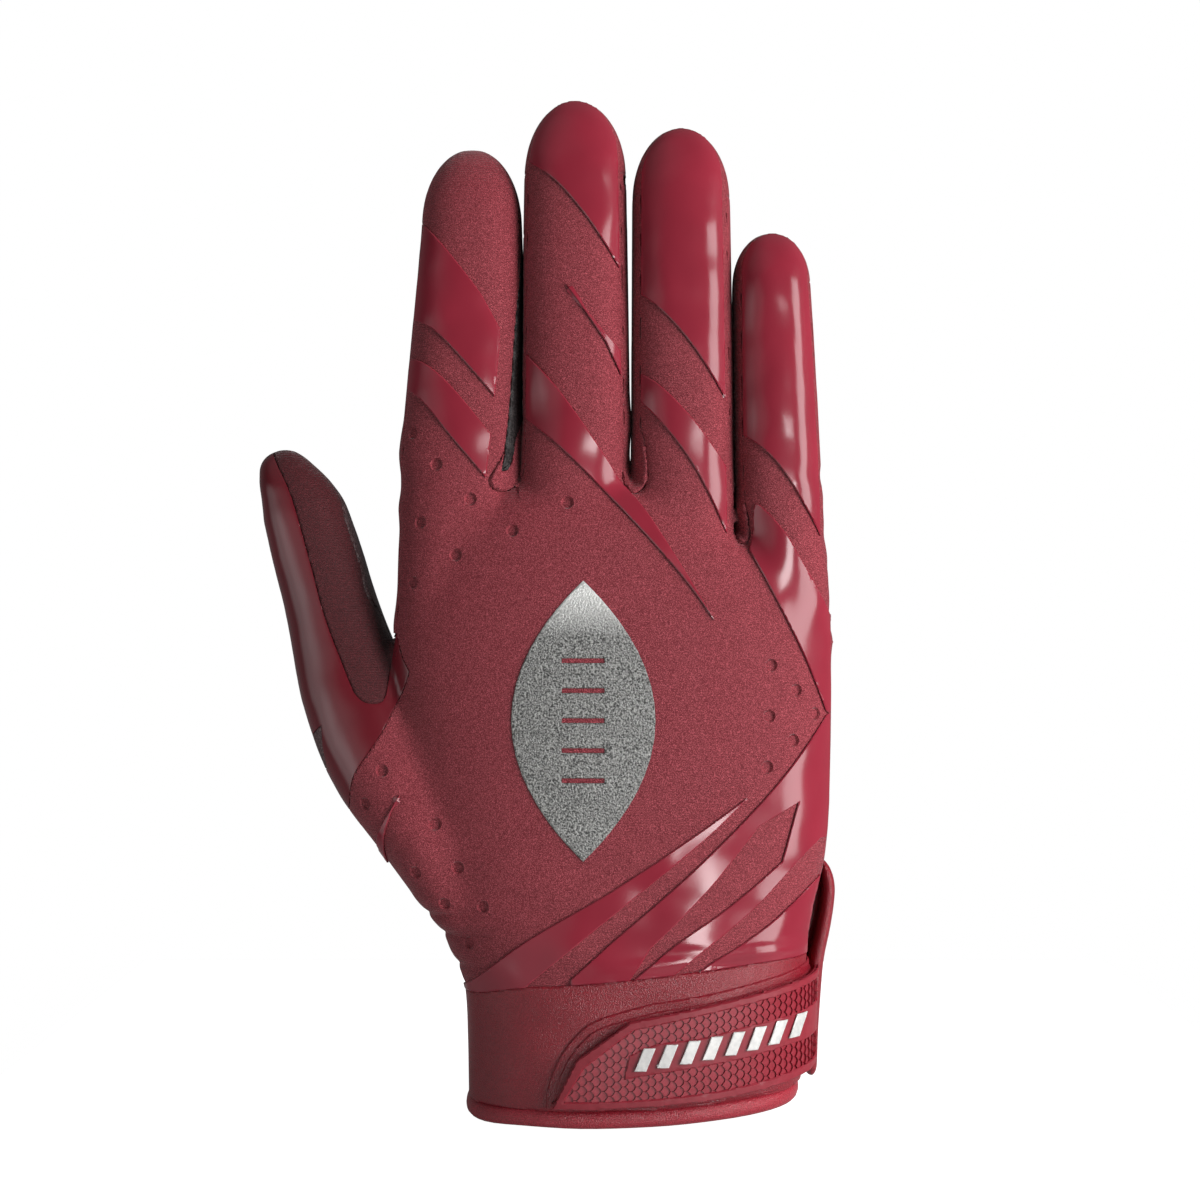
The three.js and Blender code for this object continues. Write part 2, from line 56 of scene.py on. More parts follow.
GAPS = [-24.8, -0.8, 22.2]  # where the gaps between the fingers are, from the index to the little finger
FINGER_ROOT, FINGER_KNUCKLE = 100, 128
FINGER_DEPTH = [(100, 10), (128, 10.6), (150, 9.9), (175, 9.3), (225, 8.8)]  # height, half depth
TIP_ANGLES = (0, 12, 24, 36, 48, 59, 69, 78)
FLEX_START, FLEX = 110, 0.00054  # the fingers bend towards the palm above this height
ROUNDNESS, ROUND_STEPS = 2.5, 16  # 2 is an ellipse, more is squarer

# Hand and wrist: height, left edge, right edge, half depth
HAND = [
    (-5, -36.6, 35.2, 22), (13, -36.8, 37.6, 21.5), (28, -37.8, 38.6, 20.3), (36, -41.4, 38.8, 19.3),
    (41, -43.7, 39.4, 18.7), (46, -45.6, 40.4, 18.1), (53, -47.4, 42.4, 17.5), (64, -49.8, 43.6, 16.8),
    (90, -52.4, 44.2, 15.6), (104, -53.5, 44.2, 14.9), (112, -53.6, 44.8, 14.4), (119, -53.1, 44.6, 13.4),
    (128, -52.6, 42.8, 12), (135, -52.2, 41, 9), (138.6, -51.8, 40, 5), (139.9, -50.6, 39, 1),
]
WEB_HEIGHT, WEB_SLOPE, WEB_BEND = 139.9, -0.2153, -0.0093  # the webs lie on a curve across the hand
WEB_SHARE = [(104, 0), (112, 0.35), (128, 0.8), (135, 1), (145, 1)]  # how far each height follows that curve
# Thumb, from inside the wrist to the tip: height, x and y of its axis, half width, half depth
THUMB = [
    (38, -33, 1, 6, 13), (46, -38.4, 2, 8.2, 15), (60, -46.5, 3, 10.4, 16), (76, -55.8, 4.5, 12.8, 14.5),
    (91.7, -62.8, 5.5, 12.2, 12.2), (103, -66.4, 6.5, 11, 10.6), (112, -69, 7, 10.2, 9.8),
    (121, -71.7, 7, 10, 9.4), (129, -74.4, 6.5, 9.4, 8.8),
]
THUMB_TIP = (-80.4, 146)
HAND_STEPS, THUMB_STEPS, LEAST_DEPTH = 59, 18, 0.6
VOXEL, SMOOTHING = 0.8, 24


def curve_at(rows, height, column=1):
    """The table's value at that height, on a smooth curve through its rows."""
    at = max(1, min(len(rows) - 1, next((i for i, r in enumerate(rows) if r[0] >= height), len(rows) - 1)))
    low, high = rows[at - 1], rows[at]
    before, after = rows[max(at - 2, 0)], rows[min(at + 1, len(rows) - 1)]
    span = high[0] - low[0]
    share = max(0, min(1, (height - low[0]) / span))
    slope_low = (high[column] - before[column]) / (high[0] - before[0]) * span
    slope_high = (after[column] - low[column]) / (after[0] - low[0]) * span
    a, b = share**2, share**3
    value = (2 * b - 3 * a + 1) * low[column] + (3 * a - 2 * b) * high[column]
    return value + (b - 2 * a + share) * slope_low + (b - a) * slope_high


def mix(a, b, share):
    return a + (b - a) * share


def flex_at(height):
    return FLEX * max(0, height - FLEX_START) ** 2


def web_at(x):
    return WEB_HEIGHT + WEB_SLOPE * x + WEB_BEND * x * x


def spread_at(x, height):
    """How far the fingers stand apart at that height while the form is made: 0 in the hand, 1 above it."""
    share = max(0, min(1, (height - web_at(x) + 3) / 15))
    return share * share * (3 - 2 * share)


def finger_section(finger, height):
    """Centre x, y, z, half width, half depth and lean of a finger's section."""
    cap_z = finger["tip_z"] - finger["cap"]
    share = max(0, min(1, (height - FINGER_KNUCKLE) / (cap_z - FINGER_KNUCKLE)))
    width = mix(finger["root_width"], finger["tip_width"], share ** finger["taper"])
    x = mix(finger["root_x"], finger["tip_x"], share)
    lower = finger["back"] * max(0, min(1, (height - 105) / 40))
    return (x, flex_at(height) + lower, height, width, curve_at(FINGER_DEPTH, height), 0)


def finger_sections(finger):
    cap_z = finger["tip_z"] - finger["cap"]
    steps = [mix(FINGER_KNUCKLE, cap_z, i / 8) for i in range(8)]
    rows = [finger_section(finger, z) for z in (FINGER_ROOT, 114, *steps)]
    for angle in map(math.radians, TIP_ANGLES):
        x, y, z, width, depth, lean = finger_section(finger, cap_z + finger["cap"] * math.sin(angle))
        rows.append((x, y, z, width * math.cos(angle), depth * math.cos(angle), lean))
    apart = finger["apart"]
    return [(x + apart * spread_at(finger["root_x"], z), y, z, *size) for x, y, z, *size in rows]


def hand_sections():
    rows = []
    for i in range(HAND_STEPS + 1):
        z = mix(HAND[0][0], HAND[-1][0], i / HAND_STEPS)
        left, right, depth = (curve_at(HAND, z, column) for column in (1, 2, 3))
        rows.append(((left + right) / 2, flex_at(z), z, (right - left) / 2, max(depth, LEAST_DEPTH), 0))
    return rows


def thumb_sections():
    rows = []
    for i in range(THUMB_STEPS + 1):
        z = mix(THUMB[0][0], THUMB[-1][0], i / THUMB_STEPS)
        x, y, width, depth = (curve_at(THUMB, z, column) for column in (1, 2, 3, 4))
        ahead = curve_at(THUMB, z + 1, 1) if i < THUMB_STEPS else x + (THUMB_TIP[0] - x) / (THUMB_TIP[1] - z)
        rows.append((x, y, z, width, depth, math.atan(ahead - x)))
    x, y, z, width, depth, lean = rows[-1]
    for angle in map(math.radians, TIP_ANGLES[1:]):
        along, across = math.sin(angle), math.cos(angle)
        at = (mix(x, THUMB_TIP[0], along), y, mix(z, THUMB_TIP[1], along))
        rows.append((*at, width * across, depth * across, lean))
    return rows


def tube(name, sections):
    """A closed tube through rounded sections, drawn from the lowest one upwards."""
    bpy.ops.object.select_all(action="DESELECT")
    bpy.ops.mesh.primitive_plane_add(size=2)
    made = bpy.context.object
    made.name = name
    bpy.ops.object.mode_set(mode="EDIT")
    profile = 0.5 ** (2 / ROUNDNESS)
    bpy.ops.mesh.bevel(
        offset=0.9995, segments=ROUND_STEPS, profile=profile, affect="VERTICES", clamp_overlap=False)
    bpy.ops.mesh.select_all(action="SELECT")
    bpy.ops.mesh.remove_doubles(threshold=0.01)
    now = (0, 0, 0, 1, 1, 0)
    for i, (x, y, z, width, depth, lean) in enumerate(sections):
        target = (x * MM, y * MM, z * MM, width * MM, depth * MM, lean)
        step = [target[k] - now[k] for k in range(3)]
        if i:
            bpy.ops.mesh.extrude_region_move(TRANSFORM_OT_translate={"value": step})
        else:
            bpy.ops.transform.translate(value=step)
        centre = target[:3]
        bpy.ops.transform.rotate(value=now[5], orient_axis="Y", center_override=centre)
        bpy.ops.transform.resize(value=(target[3] / now[3], target[4] / now[4], 1), center_override=centre)
        bpy.ops.transform.rotate(value=-lean, orient_axis="Y", center_override=centre)
        now = target
    bpy.ops.mesh.select_all(action="SELECT")
    bpy.ops.mesh.normals_make_consistent(inside=False)
    bpy.ops.object.mode_set(mode="OBJECT")
    return made


def smooth_line(points, steps):
    """Points along a smooth curve through the given ones."""
    line = []
    ends = [points[0], *points, points[-1]]
    for a, b, c, d in zip(ends, ends[1:], ends[2:], ends[3:]):
        for t in (i / steps for i in range(steps)):
            weights = (-t + 2 * t**2 - t**3, 2 - 5 * t**2 + 3 * t**3, t + 4 * t**2 - 3 * t**3, t**3 - t**2)
            line.append(tuple(sum(w * p[k] for w, p in zip(weights, (a, b, c, d))) / 2 for k in (0, 1)))
    return line + [points[-1]]


def room_inside(outline, at, direction):
    """How far it is from that corner of the outline to its other side, in that direction."""
    start, nearest = outline[at], math.inf
    for i, p in enumerate(outline):
        if at in (i, (i + 1) % len(outline)):
            continue
        q = outline[(i + 1) % len(outline)]
        edge = (q[0] - p[0], q[1] - p[1])
        across = direction[0] * edge[1] - direction[1] * edge[0]
        if abs(across) < 1e-9:
            continue
        away = (p[0] - start[0], p[1] - start[1])
        reach = (away[0] * edge[1] - away[1] * edge[0]) / across
        along = (away[0] * direction[1] - away[1] * direction[0]) / across
        if reach > 1e-6 and 0 <= along <= 1:
            nearest = min(nearest, reach)
    return nearest


def inset_outline(outline, distance):
    """The outline moved inwards by that distance, or outwards if it is below 0. Narrow tips keep a middle."""
    pairs = list(zip(outline, outline[1:] + outline[:1]))
    turn = math.copysign(1, sum(a[0] * b[1] - b[0] * a[1] for a, b in pairs))
    made = []
    for i, (b, c) in enumerate(pairs):
        a = outline[i - 1]
        before, after = math.dist(a, b) or 1, math.dist(b, c) or 1
        u = ((b[0] - a[0]) / before, (b[1] - a[1]) / before)
        v = ((c[0] - b[0]) / after, (c[1] - b[1]) / after)
        inward = (-(u[1] + v[1]) * turn, (u[0] + v[0]) * turn)
        length = math.hypot(*inward) or 1
        inward = (inward[0] / length, inward[1] / length)
        reach = distance / max(0.6, length / 2)
        if distance > 0:
            reach = min(reach, 0.4 * room_inside(outline, i, inward))
        made.append((b[0] + inward[0] * reach, b[1] + inward[1] * reach))
    return made


def inside(outline, x, z):
    """Whether the point lies in the outline."""
    crossings = 0
    for p, q in zip(outline, outline[1:] + outline[:1]):
        if (p[1] > z) != (q[1] > z) and x < p[0] + (z - p[1]) / (q[1] - p[1]) * (q[0] - p[0]):
            crossings += 1
    return crossings % 2 == 1


def block(outline, low, high, axis="Y"):
    """A closed block with that outline: x and z, from y low to high, or y and z, from x low to high."""
    bpy.ops.object.select_all(action="DESELECT")
    bpy.ops.mesh.primitive_plane_add(size=MM)
    made = bpy.context.object
    bpy.ops.object.mode_set(mode="EDIT")
    bpy.ops.mesh.select_all(action="SELECT")
    bpy.ops.mesh.merge(type="CENTER")
    corners = [((u, low, v) if axis == "Y" else (low, u, v)) for u, v in outline]
    bpy.ops.transform.translate(value=[c * MM for c in corners[0]])
    for p, q in zip(corners, corners[1:]):
        step = [(b - a) * MM for a, b in zip(p, q)]
        bpy.ops.mesh.extrude_vertices_move(TRANSFORM_OT_translate={"value": step})
    bpy.ops.mesh.select_all(action="SELECT")
    bpy.ops.mesh.edge_face_add()
    depth = (high - low) * MM
    through = (0, depth, 0) if axis == "Y" else (depth, 0, 0)
    bpy.ops.mesh.extrude_region_move(TRANSFORM_OT_translate={"value": through})
    bpy.ops.mesh.select_all(action="SELECT")
    bpy.ops.mesh.normals_make_consistent(inside=False)
    bpy.ops.object.mode_set(mode="OBJECT")
    made.data.materials.append(cut_face)
    return made


def pick(*pieces):
    """Selects these pieces and nothing else. The first one is the active one."""
    bpy.ops.object.select_all(action="DESELECT")
    for piece in pieces:
        piece.select_set(True)
    bpy.context.view_layer.objects.active = pieces[0]


def apply_to(piece, kind, **settings):
    """Adds a modifier to the piece and applies it."""
    pick(piece)
    modifier = piece.modifiers.new(kind.title(), kind)
    for name, value in settings.items():
        setattr(modifier, name, value)
    bpy.ops.object.modifier_apply(modifier=modifier.name)


def cut(piece, tool, operation):
    """Cuts the piece with the tool, or keeps what lies in it, or joins it. The tool is used up."""
    apply_to(piece, "BOOLEAN", operation=operation, solver="MANIFOLD", material_mode="TRANSFER", object=tool)
    bpy.data.objects.remove(tool)


def twin(piece, name):
    made = piece.copy()
    made.data = piece.data.copy()
    made.name = name
    bpy.context.collection.objects.link(made)
    return made


def join(parts):
    pick(*parts)
    bpy.ops.object.join()
    return parts[0]


def drop_cut_faces(piece):
    """Leaves only the outer surface: the faces that the cutting tools made go."""
    pick(piece)
    bpy.ops.object.mode_set(mode="EDIT")
    bpy.ops.mesh.select_all(action="DESELECT")
    for i, material_slot in enumerate(piece.material_slots):
        if material_slot.material == cut_face:
            piece.active_material_index = i
            bpy.ops.object.material_slot_select()
    bpy.ops.mesh.delete(type="FACE")
    bpy.ops.object.mode_set(mode="OBJECT")


def select_open_edges():
    bpy.ops.mesh.select_non_manifold(
        extend=False, use_wire=False, use_multi_face=False, use_non_contiguous=False)


CRUMB = 0.08  # a loose bit is a crumb below this share of the largest bit's faces


def without_crumbs(piece):
    """Drops the small loose bits that a cut along the skin leaves."""
    name = piece.name
    bpy.ops.mesh.separate(type="LOOSE")
    parts = sorted(bpy.context.selected_objects, key=lambda part: -len(part.data.polygons))
    least = CRUMB * len(parts[0].data.polygons)
    kept = [part for part in parts if len(part.data.polygons) > least]
    for part in parts[len(kept):]:
        bpy.data.objects.remove(part)
    made = join(kept)
    made.name = name
    return made


STANDS_OUT, PRESSED, SLACK = 0.06, 0.4, 0.7  # out of the skin, below it, and deeper than the sheet's own depth
MERGE = 0.003


def press_flat(piece, skin, depth):
    """Brings back under the skin whatever stands out of it or hangs deeper than that below it."""
    for vertex in piece.data.vertices:
        _, near, normal, _ = skin.closest_point_on_mesh(vertex.co)
        out = (vertex.co - near).length * (1 if (vertex.co - near).dot(normal) > 0 else -1)
        if out > STANDS_OUT * MM or out < -depth * MM:
            vertex.co = near - normal * PRESSED * MM


def sheet(name, skin, region, edge, dip, thickness):
    """A sheet that follows the skin inside region(0), its edge bent down by dip over the width edge."""
    rim = twin(skin, name)
    cut(rim, region(0), "INTERSECT")
    middle = twin(rim, name + "_middle")
    cut(middle, region(edge), "INTERSECT")
    cut(rim, region(edge), "DIFFERENCE")
    for part in (rim, middle):
        drop_cut_faces(part)
    piece = join([rim, middle])
    bpy.ops.object.mode_set(mode="EDIT")
    bpy.ops.mesh.select_mode(type="VERT")
    bpy.ops.mesh.select_all(action="SELECT")
    bpy.ops.mesh.remove_doubles(threshold=MERGE * MM)
    bpy.ops.object.mode_set(mode="OBJECT")
    piece = without_crumbs(piece)
    bpy.ops.object.mode_set(mode="EDIT")
    bpy.ops.mesh.select_all(action="DESELECT")
    select_open_edges()
    bpy.ops.transform.shrink_fatten(value=-dip * MM)
    bpy.ops.object.mode_set(mode="OBJECT")
    piece.data.materials.clear()
    apply_to(piece, "SOLIDIFY", thickness=thickness * MM, offset=-1)
    press_flat(piece, skin, thickness + dip + SLACK)
    return piece


def lifted(skin, height):
    made = twin(skin, "lifted_skin")
    apply_to(made, "DISPLACE", strength=height * MM, mid_level=0)
    return made


def raised_sheet(name, skin, height, region, edge, dip, thickness):
    """A sheet on the skin, that far off it."""
    raised_skin = lifted(skin, height)
    piece = sheet(name, raised_skin, region, edge, dip, thickness)
    bpy.data.objects.remove(raised_skin)
    return piece


def place(piece, material, slot_name, sharp_from, *nodes):
    """Gives the piece its material and its place in the frame. Edges past that angle stay sharp."""
    pick(piece)
    bpy.ops.object.shade_smooth_by_angle(angle=math.radians(sharp_from))
    piece.data.materials.clear()
    piece.data.materials.append(material)
    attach(piece, "root")
    if nodes:
        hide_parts(*nodes)


FILM_NARROWS_BELOW = 172


def film_limit(finger, inset):
    """How far films reach on a finger, seen from the front: up to its seams and close to its tip."""
    cap_z = finger["tip_z"] - finger["cap"]
    left_gap, right_gap = (gap + inset for gap in finger["film"])
    tip_gap = TIP_GAP + inset
    right, left = [], []
    for z in (mix(FINGER_ROOT, cap_z, i / 7) for i in range(7)):
        x, _, _, width, _, _ = finger_section(finger, z)
        right.append((x + width - right_gap - finger["film_narrows"] * max(0, FILM_NARROWS_BELOW - z), z))
        left.append((x - width + left_gap, z))
    for angle in map(math.radians, range(0, 90, 9)):
        across, up = math.cos(angle), math.sin(angle)
        z = cap_z + (finger["cap"] - tip_gap) * up
        width = finger["tip_width"]
        right.append((finger["tip_x"] + (width - mix(right_gap, tip_gap, up)) * across, z))
        left.append((finger["tip_x"] - (width - mix(left_gap, tip_gap, up)) * across, z))
    return right + [(finger["tip_x"], finger["tip_z"] - tip_gap)] + left[::-1]


def finger_seam(finger, side, start, beyond):
    """The seam up one side of a finger, from that height to the tip, which it leaves outside at x = beyond."""
    cap_z = finger["tip_z"] - finger["cap"]
    share = finger["seams"][side > 0]
    line = []
    for z in (mix(start, cap_z, i / 6) for i in range(7)):
        x, _, _, width, _, _ = finger_section(finger, z)
        line.append((x + side * width * share, z))
    return line + [(beyond, cap_z + 0.8), (beyond, finger["tip_z"] + 2)]


EDGE_STEPS = 24


def hand_edge(side, inset, low, high):
    """The hand's silhouette on one side, moved inwards, from low to high."""
    column = 2 if side > 0 else 1
    heights = [mix(low, high, i / EDGE_STEPS) for i in range(EDGE_STEPS + 1)]
    return [(curve_at(HAND, z, column) - side * inset, z) for z in heights]


def beside_bend(offset, far):
    """All between y = far and the fingers' middle surface, which is moved back by the offset."""
    bend = [(flex_at(z) + offset, z) for z in (-20, FLEX_START, *range(115, 245, 5))]
    return block([(far, -20), *bend, (far, 240)], -130, 130, "X")


def front_of(offset):
    return beside_bend(offset, -90)


def behind(offset):
    return beside_bend(offset, 90)


def cuff_side(drop):
    """All below the cuff's upper seam, or that far below the seam."""
    line = [(x, z - drop) for x, z in smooth_line(CUFF_SEAM, 4)]
    left, right = CUFF_SEAM[0][1] - drop, CUFF_SEAM[-1][1] - drop
    return block([(-130, -40), (-130, left), *line, (130, right), (130, -40)], -90, 90)


def back_outline():
    """The seams round the back panel, seen from the front."""
    little, ring, middle, index = (FINGERS[name] for name in ("little", "ring", "middle", "index"))
    points = [(x - SIDE_SEAM, z) for x, z in hand_edge(1, 0, -10, 118)]
    left, middle_gap, right = GAPS
    points += finger_seam(little, 1, 128, 46) + finger_seam(little, -1, 137, right + 0.05)[::-1]
    points += smooth_line(WEBS[0], 4) + finger_seam(ring, 1, 136, right - 0.05)
    points += finger_seam(ring, -1, 150, middle_gap + 0.05)[::-1] + smooth_line(WEBS[1], 4)
    points += finger_seam(middle, 1, 144, middle_gap - 0.05)
    points += finger_seam(middle, -1, 146, left + 0.05)[::-1]
    points += smooth_line(WEBS[2], 4) + finger_seam(index, 1, 150, left - 0.05)
    points += finger_seam(index, -1, 116, -60)[::-1]
    return points + [(THUMB_WEB_X, THUMB_WEB_Z), (-130, THUMB_WEB_Z), (-130, -10)]


def back_region(inset):
    made = block(inset_outline(back_outline(), inset), -60, 40)
    cut(made, front_of(-inset), "INTERSECT")
    thumb_front = [(-130, 175), (THUMB_WEB_X, 175), *WEB_EDGE, (-75, 60), (-130, 60)]
    cut(made, block(inset_outline(thumb_front, -inset), -80, 80), "DIFFERENCE")
    cut(made, index_wrap(-inset), "DIFFERENCE")
    cut(made, cuff_side(-inset), "DIFFERENCE")
    return made


def index_wrap(inset):
    """The palm's strip on the right of the index finger, left of the gap to the middle finger. Its lower end
    in the web's valley is painted shade.
    """
    made = block(inset_outline(INDEX_WRAP, inset), -70, 70)
    gap = [(-24.9 - inset, 100), (-24.6 - inset, 170), (-24.6 - inset, 250)]
    cut(made, block([(-130, 100), *gap, (-130, 250)], -80, 80), "INTERSECT")
    return made


WEBS = [  # little and ring, ring and middle, middle and index: the round seams between the fingers
    [(24.6, 133), (25.2, 129.5), (25.5, 126), (24.6, 124.2), (23, 124.6), (22.2, 128), (21.9, 132)],
    [(2.5, 146), (3, 141), (2.8, 137.5), (0.8, 135.3), (-1.4, 135.8), (-2.4, 138.6)],
    [(-24.1, 141), (-25.2, 138), (-27.2, 136), (-29.5, 135.5), (-31.2, 136.4), (-31.6, 138.4), (-30, 141.5),
     (-28, 145)],
]
THUMB_WEB_X, THUMB_WEB_Z = -52.4, 104.4  # where the web to the thumb leaves the hand
WEB_EDGE = smooth_line([(THUMB_WEB_X, THUMB_WEB_Z), (-51.1, 99.6), (-49.3, 96.1)], 4) + smooth_line([
    (-49.4, 95.6), (-50.6, 92.4), (-52.6, 88.3), (-54.9, 83.3), (-58.3, 78.1), (-61.1, 73.9), (-62.2, 70),
    (-62.6, 67.4), (-64, 63.5),
], 4)
CUFF_SEAM = [
    (-60, 24), (-37.8, 26.2), (-26.4, 28.8), (-15.4, 30), (-4.6, 31), (6.1, 32.1), (17, 33.3), (28.2, 34.3),
    (37.2, 34.4), (60, 34.4),
]
DIMPLES = [
    (-48.6, 148.6), (-43.2, 141.5), (-35.7, 133.8), (-46.7, 128.8), (-38.8, 121.6), (-48.3, 115.7),
    (-26.4, 126.9), (-14.5, 133), (29.6, 97.7), (35.2, 92.2), (39.6, 87), (29.1, 86.7), (34.5, 81.4),
    (28.6, 75.8), (-54.8, 74.7), (-58.6, 67.4), (-60, 61.2), (-43.1, 63.3), (-47.4, 52.8), (-38.1, 54.1),
    (-41, 46.2), (-32.6, 46), (-35.8, 37.7),
]
SIDE_SEAM, TIP_GAP = 1.1, 0.8  # from the hand's right edge to the seam, and from a film's end to the fingertip
INDEX_WRAP = [  # the palm's fabric comes round to the front on the index finger's right; its lower end, down to the web, is also a dark sheet put in as painted shade
    *smooth_line([(-28.9, 140), (-27.6, 140.4), (-26.6, 142.6), (-26, 147)], 4),
    (-24.6, 152), (-22, 152), (-22, 194), (-24.8, 194),
    *smooth_line([(-25.2, 184), (-26.2, 172), (-26.9, 160), (-27.7, 150), (-28.5, 143.5)], 4),
]

cut_face = bpy.data.materials.new("cut_face")
hand = tube("hand", hand_sections())
for vertex in hand.data.vertices:
    height = vertex.co.z / MM
    if height > WEB_SHARE[0][0]:
        vertex.co.z += curve_at(WEB_SHARE, height) * (web_at(vertex.co.x / MM) - WEB_HEIGHT) * MM
forms = [hand, tube("thumb", thumb_sections())]
for name, finger in FINGERS.items():
    forms.append(tube(name, finger_sections(finger)))
skin = join(forms)
skin.name = "skin"
apply_to(skin, "REMESH", mode="VOXEL", voxel_size=VOXEL * MM)
apply_to(skin, "SMOOTH", iterations=SMOOTHING, factor=0.5)
skin.data.materials.append(bpy.data.materials.new("skin_face"))

# The fingers, apart until here so that they don't melt together, move back to their places.
order = list(FINGERS.values())
for vertex in skin.data.vertices:
    x, height = vertex.co.x / MM, vertex.co.z / MM
    if height < 115 or (x < -61 and height < 150):
        continue
    for finger, gap, after in zip(order, [*GAPS, 99], order[1:] + order[-1:]):
        apart = spread_at(finger["root_x"], height)
        if x < gap + (finger["apart"] + after["apart"]) / 2 * apart or finger is order[-1]:
            vertex.co.x -= finger["apart"] * apart * MM
            break


def smooth_where(share_at, rounds):
    """Smooths the front of the skin where share_at(x, height) is above 0, fully where it is 1."""
    group = skin.vertex_groups.new(name="smoothed")
    for vertex in skin.data.vertices:
        share = share_at(vertex.co.x / MM, vertex.co.z / MM)
        if vertex.co.y < 0 and share > 0:
            group.add([vertex.index], share, "REPLACE")
    apply_to(skin, "SMOOTH", iterations=rounds, factor=0.5, vertex_group="smoothed")
    skin.vertex_groups.clear()


def thumb_base(x, height):
    return min(1, (x + 66) / 8, (-30 - x) / 8, (height - 34) / 10, (90 - height) / 8)


def finger_roots(x, height):
    share = 0
    for finger in FINGERS.values():
        low = finger["flat_from"]
        away = max(finger["root_x"] - x, (x - finger["root_x"]) * finger["flat_right"])
        share = max(share, min(1, (height - low) / 8, (low + 36 - height) / 8, (9.5 - away) / 2))
    return share


def little_root(x, height):
    return min(1, (x - 24.5) / 2, (42.5 - x) / 3, (height - 94) / 8, (137 - height) / 6)


# The thumb's base and the fingers' backs run softly into the hand.
smooth_where(thumb_base, 60)
smooth_where(finger_roots, 100)
smooth_where(little_root, 160)

# The outer fingers run evenly into the hand's edges: how far its sides move at each height.
EVEN_LEFT = [
    (108, 0), (122, 0.3), (128, 0.6), (134, 0.9), (139, 0.1), (143, -0.7), (148, -0.3), (153, 0.2), (180, 0.5),
    (200, 0),
]
EVEN_RIGHT = [
    (92, 0), (98, 0), (103, 0.25), (107.3, 0.85), (111.8, 1.3), (116.3, 0.6), (120.7, -0.55), (125.2, -0.6),
    (129.7, 0.5), (134.1, 0.55), (139, -0.3), (142, 0),
]
for vertex in skin.data.vertices:
    x, height = vertex.co.x / MM, vertex.co.z / MM
    for side, edge, table in ((-1, -43, EVEN_LEFT), (1, 34, EVEN_RIGHT)):
        if (x - edge) * side > 0 and table[0][0] < height < table[-1][0]:
            vertex.co.x += curve_at(table, height) * min(1, (x - edge) * side / 5) * MM

# Soft ripples in the wrist, creases gathered at its left, a swell above the wrist band's seam, and a rolled
# lip inside each web's seam.
GATHERS = [(43.4, 0.55), (38.5, 0.6), (31.4, 0.5), (26.4, 0.3)]  # height, depth
LIP, LIP_CREASE, SEAM_SWELL, RIPPLE, FINE_RIPPLE = 0.55, 0.35, 0.5, 0.1, 0.09


def bell(distance, width):
    return math.exp(-((distance / width) ** 2))


web_lines = [smooth_line(web, 3) for web in WEBS]
for vertex in skin.data.vertices:
    x, height = vertex.co.x / MM, vertex.co.z / MM
    if vertex.co.y < 0 and 118 < height < 150:
        for line in web_lines:
            away = min(math.hypot(x - u, height - v) for u, v in line)
            if away < 3:
                lip = LIP * bell(away - 0.8, 0.7) if inside(line, x, height) else 0
                vertex.co.y -= (lip - LIP_CREASE * bell(away, 0.5)) * MM
    if vertex.co.y < 0 and height < 80:
        swell = math.sin(height / 1.9 + x / 6) + math.sin(height / 3.1 - x / 4.3)
        fine = math.sin(height / 0.95 + x / 7) * max(0, min(1, x / 10)) * max(0, min(1, (52 - height) / 10))
        vertex.co.y += (RIPPLE * swell + FINE_RIPPLE * fine) * min(1, (80 - height) / 20) * MM
        above_seam = height - curve_at(CUFF_SEAM, x)
        vertex.co.y -= SEAM_SWELL * bell(above_seam - 2.6, 1.2) * max(0, min(1, (x + 10) / 20)) * MM
    if x > -30 or not 20 < height < 56:
        continue
    reach = min(1, (-30 - x) / 9)
    level = height - 0.12 * (x + 42)
    crease = sum(depth * (bell(level - z, 0.9) - 0.35 * bell(level - z - 3, 1.8)) for z, depth in GATHERS)
    vertex.co.x += crease * reach * MM
    vertex.co.y += 0.6 * crease * reach * MM * (1 if vertex.co.y < 0 else -1)


def dimple_tool(spots):
    """Short blunt cones that stand on the skin at those spots, for pressing in the perforations."""
    tools = []
    for x, z in spots:
        _, point, normal, _ = skin.ray_cast((x * MM, -0.1, z * MM), (0, 1, 0))
        turn = normal.to_track_quat("Z", "Y").to_euler()
        bpy.ops.mesh.primitive_cone_add(
            vertices=20, radius1=1.05 * MM, radius2=1.85 * MM, depth=1.2 * MM, location=point, rotation=turn)
        tool = bpy.context.object
        bpy.ops.object.transform_apply()
        tools.append(tool)
    return join(tools)


dimpled = twin(skin, "dimpled")
cut(dimpled, dimple_tool(DIMPLES), "DIFFERENCE")


def shader(name):
    """A material with its main node and the places of the object for its patterns."""
    made = bpy.data.materials.new(name)
    made.use_nodes = True
    nodes, links = made.node_tree.nodes, made.node_tree.links
    return made, nodes, links, nodes["Principled BSDF"], nodes.new("ShaderNodeTexCoord").outputs["Object"]


def noise(nodes, links, spot, scale, detail):
    made = nodes.new("ShaderNodeTexNoise")
    made.inputs["Scale"].default_value = scale
    made.inputs["Detail"].default_value = detail
    links.new(spot, made.inputs["Vector"])
    return made.outputs["Fac"]


def ramp(nodes, links, value, stops):
    """A colour for each value, from (position, colour) pairs."""
    made = nodes.new("ShaderNodeValToRGB")
    links.new(value, made.inputs["Fac"])
    elements = made.color_ramp.elements
    for i, (position, colour) in enumerate(stops):
        element = elements[i] if i < 2 else elements.new(position)
        element.position = position
        element.color = (*colour, 1)
    return made.outputs["Color"]


def bump(nodes, links, height, distance, base=None):
    made = nodes.new("ShaderNodeBump")
    made.inputs["Distance"].default_value = distance * MM
    links.new(height, made.inputs["Height"])
    if base:
        links.new(base, made.inputs["Normal"])
    return made.outputs["Normal"]


